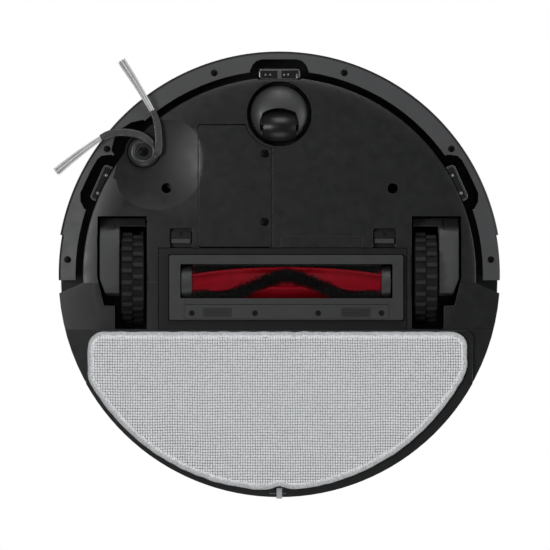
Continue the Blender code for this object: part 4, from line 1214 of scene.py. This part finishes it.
def side_brush_bristles(name, arm):
    """Filaments that leave the arm's end side by side, spread a little and come down to the floor."""
    draw = random.Random(len(name) + 17)
    end = arm[-1]
    onwards = (arm[-1] - arm[-3]).normalized()
    tip = Vector((*ARM_TIPS[name], 1.7))
    straight = (tip - end).normalized()
    across = Vector((-straight.y, straight.x, 0.0)).normalized()
    lead = (onwards - straight) * 3.4
    bristle_core(name, end - onwards * 2.6, tip - straight * 1.2, lead, across)
    points, faces, pale = [], [], set()
    for k in range(BRISTLES_PER_ARM):
        place = (k + draw.random()) / BRISTLES_PER_ARM * 2.0 - 1.0
        layer = math.sqrt(1.0 - place * place) * 0.9 + draw.uniform(0.0, 0.12)
        root = end - onwards * 2.6 + across * (place * 1.75) + DOWN * (layer * 0.8)
        reach = tip - straight * (draw.random() ** 2 * 3.4)
        reach = reach + across * (place * 3.4 + draw.gauss(0.0, 0.05)) + DOWN * (layer * 0.5)
        first = len(faces)
        filament(points, faces, root, reach, 0.5, sides=5, bend=lead, spans=7)
        # Bands across the bundle, at its edges and its middle, get the paler colour: painted highlight
        # streaks.
        if int((place + 1.0) * 2.5) % 2 == 0:
            pale.update(range(first, len(faces)))
    node = f"side_brush_bristles_{name}"
    mesh = outwards(mesh_of(f"bristles_{name}", points, faces, sharp=80.0))
    add(f"{node}_bundle", mesh, NYLON, "side_brush", (node,))
    mesh.materials.append(NYLON_PAINTED_HIGHLIGHT)
    for polygon in mesh.polygons:
        polygon.material_index = 1 if polygon.index in pale else 0


def bristle_core(name, root, tip, lead, across):
    """The inner filaments, as one ridged bundle that fills the gaps between the outer ones."""
    stations, around = 24, 60
    rings = []
    for i in range(stations + 1):
        share = i / stations
        centre = root.lerp(tip, share) + lead * (share * (1.0 - share) * 4.0)
        half, deep = 1.3 + 1.3 * share, 0.5 - 0.2 * share
        ring = []
        for k in range(around):
            a = math.tau * k / around
            ridge = 1.0 + 0.10 * (k % 2) + 0.04 * noise.noise(Vector((k * 1.7, share * 2.0, 0.0)))
            ring.append(centre + across * (math.cos(a) * half) + DOWN * (math.sin(a) * deep * ridge))
        rings.append(ring)
    mesh = rings_mesh(f"core_{name}", rings, sharp=60.0)
    add(f"side_brush_core_{name}", mesh, NYLON, "side_brush")


def side_brush_pieces():
    side_brush_hub()
    for name in ARM_PATHS:
        side_brush_arm(name)


# ---- caster ----

SWIVEL_LOW, SWIVEL_HIGH = low_high("caster_swivel")
SWIVEL_AXIS = Vector(((SWIVEL_LOW.x + SWIVEL_HIGH.x) / 2, (SWIVEL_LOW.y + SWIVEL_HIGH.y) / 2, 0.0))
DOME_RADIUS, DOME_EDGE, DOME_TIP = 22.8, 15.0, 5.2  # its curve runs from the edge's height to the tip's
CHEEK_X, POCKET_X = 13.2, 12.4
ARC_STEPS = 14


def arc_between(a, b, rise):
    """A shallow arc from a to b whose middle stands off the straight line by rise, to its left."""
    a, b = Vector(a), Vector(b)
    along = b - a
    aside = Vector((-along.y, along.x)).normalized()
    shares = [i / ARC_STEPS for i in range(ARC_STEPS + 1)]
    return [tuple(a.lerp(b, share) + aside * rise * 4 * share * (1 - share)) for share in shares]


def caster_pieces():
    """The dome with an arched slot for the wheel and a shallow cheek pocket on each side of it."""
    profile = [(0.0, 38.0), (5.0, 38.0), (5.0, 29.0), (DOME_RADIUS - 0.8, 29.0), (DOME_RADIUS, 27.0)]
    for i in range(24):
        turn = math.pi / 2 * i / 24
        radius = DOME_RADIUS * math.cos(turn) ** 0.94
        profile.append((radius, DOME_EDGE - (DOME_EDGE - DOME_TIP) * math.sin(turn) ** 0.9))
    profile.append((0.0, DOME_TIP))
    dome = turned("dome", profile, SWIVEL_AXIS, steps=120, sharp=40.0)
    slot = arc_between((CHEEK_X, -127.4), (-CHEEK_X, -127.4), 3.9) + [(-CHEEK_X, -98.0), (CHEEK_X, -98.0)]
    tools = [slab("slot", slot, 0.0, 27.0)]
    for side in SIDES.values():
        x = side * POCKET_X
        tools.append(slab("pocket", arc_between((x, -128.2), (x, -107.6), -side * 2.9), 0.0, 10.6))
        low, high = sorted((x, x + side * 2.5))
        tools.append(block((low, -118.2, 0.0), (high, -113.7, 15.5)))
    bore = [(0.0, -30.0), (1.9, -30.0), (1.9, 30.0), (0.0, 30.0)]
    tools.append(turned("bore", bore, middle("caster_axle"), "X", 24))
    mesh = shaded(cut_by(dome, *tools), 32)
    body = NODES["caster_swivel"]["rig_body"]
    obj = add("caster_swivel_dome", mesh, DOME, body, ("caster_swivel",))
    softened(obj, 0.22, 2, 40.0)


# ---- cliff sensors ----

WINDOW_TURN = math.radians(24)
WINDOW_CENTRE = Vector((140.2, -71.7))
WINDOW_SHAPE = (4.75, 15.0, 3.2)  # half its width and length, and its corners
RIM_HEIGHT = 0.5
PLATE_EDGE = 156.4


def window_rim(name, path, z, width, loop=False):
    """A raised line round a window."""
    section = rounded_section(width, RIM_HEIGHT, 2, 2.2)
    rim = sweep(name, [Vector((x, y, z)) for x, y in path], lambda i: section, loop=loop, sharp=60.0)
    add(name, rim, WINDOW_EDGE, "chassis")


def sensor_eye(name, x, y, z, radius):
    """A clear dome in a dark ring."""
    centre = (x, y, z)
    collar = [(radius, 0.4), (radius, -0.25), (radius * 1.35, -0.25), (radius * 1.45, 0.4)]
    add(f"{name}_ring", turned(name, collar, centre, steps=28), TRIM, "chassis")
    dome = [
        (0.0, 0.4), (radius * 0.96, 0.4), (radius * 0.9, 0.0), (radius * 0.65, -0.4), (radius * 0.3, -0.62),
        (0.0, -0.68),
    ]
    lens = turned(name, dome, centre, steps=28, sharp=60.0)
    add(f"{name}_lens", lens, CLEAR_LENS, "chassis")


def side_window(side_name, side):
    """Two lines that end at the plate's edge, and two eyes."""
    face = low_high(f"cliff_sensor_{side_name}")[0].z
    turn = -side * WINDOW_TURN
    half_x, half_y, corner = WINDOW_SHAPE

    def placed(u, v):
        return (
            side * WINDOW_CENTRE.x + u * math.cos(turn) - v * math.sin(turn),
            WINDOW_CENTRE.y + u * math.sin(turn) + v * math.cos(turn),
        )

    for inset, width in ((0.35, 0.5), (1.35, 0.3)):
        x, y = half_x - inset, half_y - inset
        outline = [placed(u, v) for u, v in round_box((-x, -y), (x, y), corner - inset, 8)]
        points = [(p.x, p.y) for p in evenly([(x, y, 0.0) for x, y in outline], 0.8)]
        past = [math.hypot(*p) > PLATE_EDGE for p in points]
        first = next(i for i in range(len(points)) if past[i] and not past[i - 1])
        shown = [p for p in points[first:] + points[:first] if math.hypot(*p) > PLATE_EDGE]
        window_rim(f"cliff_window_{side_name}_rim_{round(inset * 100)}", shown, face, width)
    for i, (x, y) in enumerate(((137.3, -78.2), (144.0, -64.0))):
        sensor_eye(f"cliff_window_{side_name}_eye_{i + 1}", side * x, y, face, 1.5)


def front_window():
    face = low_high("cliff_sensor_front")[0].z
    outline = round_box((-15.2, -162.3), (15.6, -154.6), 2.6, 8)
    points = [(p.x, p.y) for p in evenly([(x, y, 0.0) for x, y in outline], 0.7)]
    window_rim("cliff_window_front_rim", points, face, 0.42, loop=True)
    for i, x in enumerate((-11.0, -7.2, 3.8, 6.9)):
        sensor_eye(f"cliff_window_front_eye_{i + 1}", x, -157.9, face, 1.1)
    for i in range(4):
        x = -1.25 + 0.8 * i
        ridge = block((x, -161.6, face - 0.35), (x + 0.4, -155.0, face + 0.3))
        add(f"cliff_window_front_ridge_{i + 1}", ridge, WINDOW_EDGE, "chassis")
    prism = block((13.2, -158.6, face - 0.4), (14.6, -155.2, face + 0.3))
    softened(add("cliff_window_front_prism", prism, CLEAR_LENS, "chassis"), 0.3)


def cliff_windows():
    front_window()
    for side_name, side in SIDES.items():
        side_window(side_name, side)


# ---- bumper edge ----

EDGE_SECTION = ((-0.95, -0.97), (-0.35, -0.62), (0.70, 0.78), (0.70, 2.4), (-0.1, 2.2), (-0.95, 0.6))
FRONT_RADIUS, END_RADIUS, EDGE_IN = 176.5, 175.0, 0.68
STEP_Y, END_Y = -31.0, 5.0  # where the bumper's radius steps, and where it ends


def degrees_at(y, radius):
    return math.degrees(math.asin(y / radius))


def bumper_edge():
    """The dark line along the bumper's lower outer edge."""
    level = low_high("bumper_shell")[0].z + 3.1
    end, step = degrees_at(END_Y, END_RADIUS), degrees_at(STEP_Y, END_RADIUS)
    front = degrees_at(STEP_Y, FRONT_RADIUS)
    for name, radius, first, last, steps in (
        ("left", END_RADIUS, end, step, 20),
        ("front", FRONT_RADIUS, front, -180 - front, 150),
        ("right", END_RADIUS, -180 - step, -180 - end, 20),
    ):
        rings = []
        for x, y in arc((0.0, 0.0), radius - EDGE_IN, first, last, steps):
            out = Vector((x, y)).normalized()
            rings.append([(x + out.x * a, y + out.y * a, level + h) for a, h in EDGE_SECTION])
        name = f"bumper_edge_{name}"
        add(name, rings_mesh(name, rings, sharp=30.0), EDGE_BLACK, "bumper")


# ---- small marks ----


def flat_mark(name, outline, low, high, body):
    add(name, slab(name, outline, low, high, sharp=10.0), LIGHT_LINE, body)


def marks():
    """The line beside the mop's tab, and signs on the two buttons."""
    under = low_high("mop_bracket")[0].z
    for name, low, high in (("right", -7.8, -2.9), ("left", 2.9, 5.4)):
        outline = rectangle(low, 173.5, high, 174.0)
        flat_mark(f"mop_tab_line_{name}", outline, under - 0.12, under + 0.2, "mop")
    ring = arc((0.0, 0.0), 2.9, 125, 415, 36) + arc((0.0, 0.0), 2.4, 415, 125, 36)
    roof = [(-3.1, 0.0), (0.0, -2.9), (3.1, 0.0), (2.6, 0.0), (0.0, -2.3), (-2.6, 0.0)]
    walls = [(-2.0, 0.3), (-1.5, 0.3), (-1.5, 2.3), (1.5, 2.3)]
    walls += [(1.5, 0.3), (2.0, 0.3), (2.0, 2.8), (-2.0, 2.8)]
    for name, node, outline in (
        ("power_sign_ring", "power_button", ring),
        ("power_sign_bar", "power_button", rectangle(-0.25, 0.9, 0.25, 3.4)),
        ("home_sign_roof", "home_button", roof),
        ("home_sign_walls", "home_button", walls),
    ):
        centre, top = middle(node), low_high(node)[1].z - 0.1
        flat_mark(name, [(centre.x + x, centre.y + y) for x, y in outline], top, top + 0.14, node)


# ---- hard parts that keep their shape ----

FINISHES = {
    "matte_black_plastic": MATT,
    "satin_black_plastic": SATIN,
    "charcoal_plastic": CHARCOAL,
    "smoked_lens": LENS,
    "smoked_clear_plastic": SMOKED_BIN,
    "gloss_black_rubber": CASTER_RUBBER,
    "tyre_rubber": TYRE,
    "black_screw": SCREW,
    "bright_steel": STEEL,
    "plated_contact": CONTACT,
    "motor_housing": MOTOR,
    "battery_wrap": BATTERY_WRAP,
    "circuit_board": BOARD,
    "filter_paper": PAPER,
    "grey_plastic": TAB_GREY,
    "grey_rubber": CLEAR_GREY,
    "red_rubber": RED,
    "nylon_bristle": NYLON,
    "black_bristle": PILE,
    "microfibre_cloth": WEAVE,
}
OTHER_FINISH = {
    "brush_chamber": CHAMBER_BLACK,
    "cover_latch_left": CHAMBER_BLACK,
    "cover_latch_right": CHAMBER_BLACK,
    "roller_end_cap_left": COVER_CHARCOAL,
    "roller_end_cap_right": COVER_CHARCOAL,
    "caster_axle": DARK_SCREW,
    "suspension_pin_left": DARK_SCREW,
    "suspension_pin_right": DARK_SCREW,
    "brush_cover": COVER_CHARCOAL,
    "cover_wiper_plate": COVER_CHARCOAL,
    "wheel_arm_left": ARM_CHARCOAL,
    "wheel_arm_right": ARM_CHARCOAL,
}
ARM_BAR_END = -38.2


def wheel_arms():
    """The arms stop in front of their tyres."""
    for side_name in SIDES:
        node = f"wheel_arm_{side_name}"
        low, high = low_high(f"wheel_tyre_{side_name}")
        room = block((low.x - 1.4, ARM_BAR_END, -5.0), (high.x + 1.4, high.y, 24.0))
        mesh = shaded(cut_by(fine_copy(node), room), 30)
        obj = add(f"{node}_moulded", mesh, ARM_CHARCOAL, node, (node,))
        softened(obj, 0.5, 3, 35.0)


RIM_SLOPES = ((136.0, 0.0), (142.0, 0.043), (147.0, 0.088), (152.0, 0.15), (155.2, 0.26), (156.2, 1.5))
RIM_HEIGHTS = ((136.0, 9.0), (142.0, 9.12), (147.0, 9.45), (152.0, 10.0), (155.2, 10.6), (156.2, 12.2))
SIDE_SLOPES = ((146.0, 0.0), (151.0, 0.082), (176.0, 0.082))
DISH_CENTRE, DISH_RADIUS, DISH_DEPTH = Vector((-97.3, -89.1)), 38.4, 4.4
PLATE_LEVEL = 9.0
SLOPE_START, SLOPE_LEVEL, SLOPE_RISE = 144.0, 8.6, 2.8 / 34.0  # of the rear half's side


def read_off(table, at):
    """A value between the entries of a table of (place, value)."""
    for (a, first), (b, second) in zip(table, table[1:]):
        if at <= b:
            return first + (second - first) * max(0.0, (at - a) / (b - a))
    return table[-1][1]


def round_normal(centre, place, slope):
    """The outward normal of an underside that rises away from a centre by slope."""
    away = (place - centre).normalized() * slope
    return Vector((away.x, away.y, -1.0)).normalized()


def curved_normal(face_centre, corner):
    """The true normal where a face belongs to the dish, the side slope or the rolled rim, or None."""
    centre, flat, level = Vector(face_centre.xy), Vector(corner.xy), face_centre.z
    dish_level = PLATE_LEVEL + DISH_DEPTH * (1.0 - ((centre - DISH_CENTRE).length / DISH_RADIUS) ** 2)
    if abs(level - dish_level) < 0.3 and dish_level > PLATE_LEVEL + 0.02:
        away = (flat - DISH_CENTRE).length
        return round_normal(DISH_CENTRE, flat, -2.0 * DISH_DEPTH * away / DISH_RADIUS**2)
    reach = (centre - REAR_CENTRE).length
    slope_level = SLOPE_LEVEL + (reach - SLOPE_START) * SLOPE_RISE
    if reach > 148.5 and centre.y > 5.0 and abs(level - slope_level) < 0.25:
        return round_normal(REAR_CENTRE, flat, read_off(SIDE_SLOPES, (flat - REAR_CENTRE).length))
    reach = centre.length
    if 135.0 < reach < 156.5 and centre.y < 11.0 and abs(level - read_off(RIM_HEIGHTS, reach)) < 0.4:
        return round_normal(Vector((0.0, 0.0)), flat, read_off(RIM_SLOPES, flat.length))
    return None


def chassis():
    """The floor plate, shaded by the true normals of its rolled rim and of the dish."""
    mesh = applied(softened(loose(fine_copy("chassis_base")), PART_EDGE, 2, PART_ANGLE))
    normals = [Vector(normal.vector) for normal in mesh.corner_normals]
    for face in mesh.polygons:
        for corner in face.loop_indices:
            place = mesh.vertices[mesh.loops[corner].vertex_index].co / MM
            true_normal = curved_normal(face.center / MM, place)
            if true_normal:
                normals[corner] = true_normal
    mesh.normals_split_custom_set(normals)
    add("chassis_base_fine", mesh, MATT, "chassis", ("chassis_base",))


def hard_parts():
    """Every node that no other piece replaces is refined, and the hidden ones get their material."""
    for node, obj in NODES.items():
        finish = OTHER_FINISH.get(node, FINISHES[SLOTS[node]])
        obj.data.materials.clear()
        obj.data.materials.append(finish)
        if node not in REPLACED:
            refine(node, finish)


mop_pieces()
screws()
tyres()
roller_pieces()
brush_cover_pieces()
latch_marks()
side_brush_pieces()
caster_pieces()
cliff_windows()
bumper_edge()
marks()
chassis()
wheel_arms()
hard_parts()


def save_sizes():
    bpy.context.view_layer.update()


save_sizes()
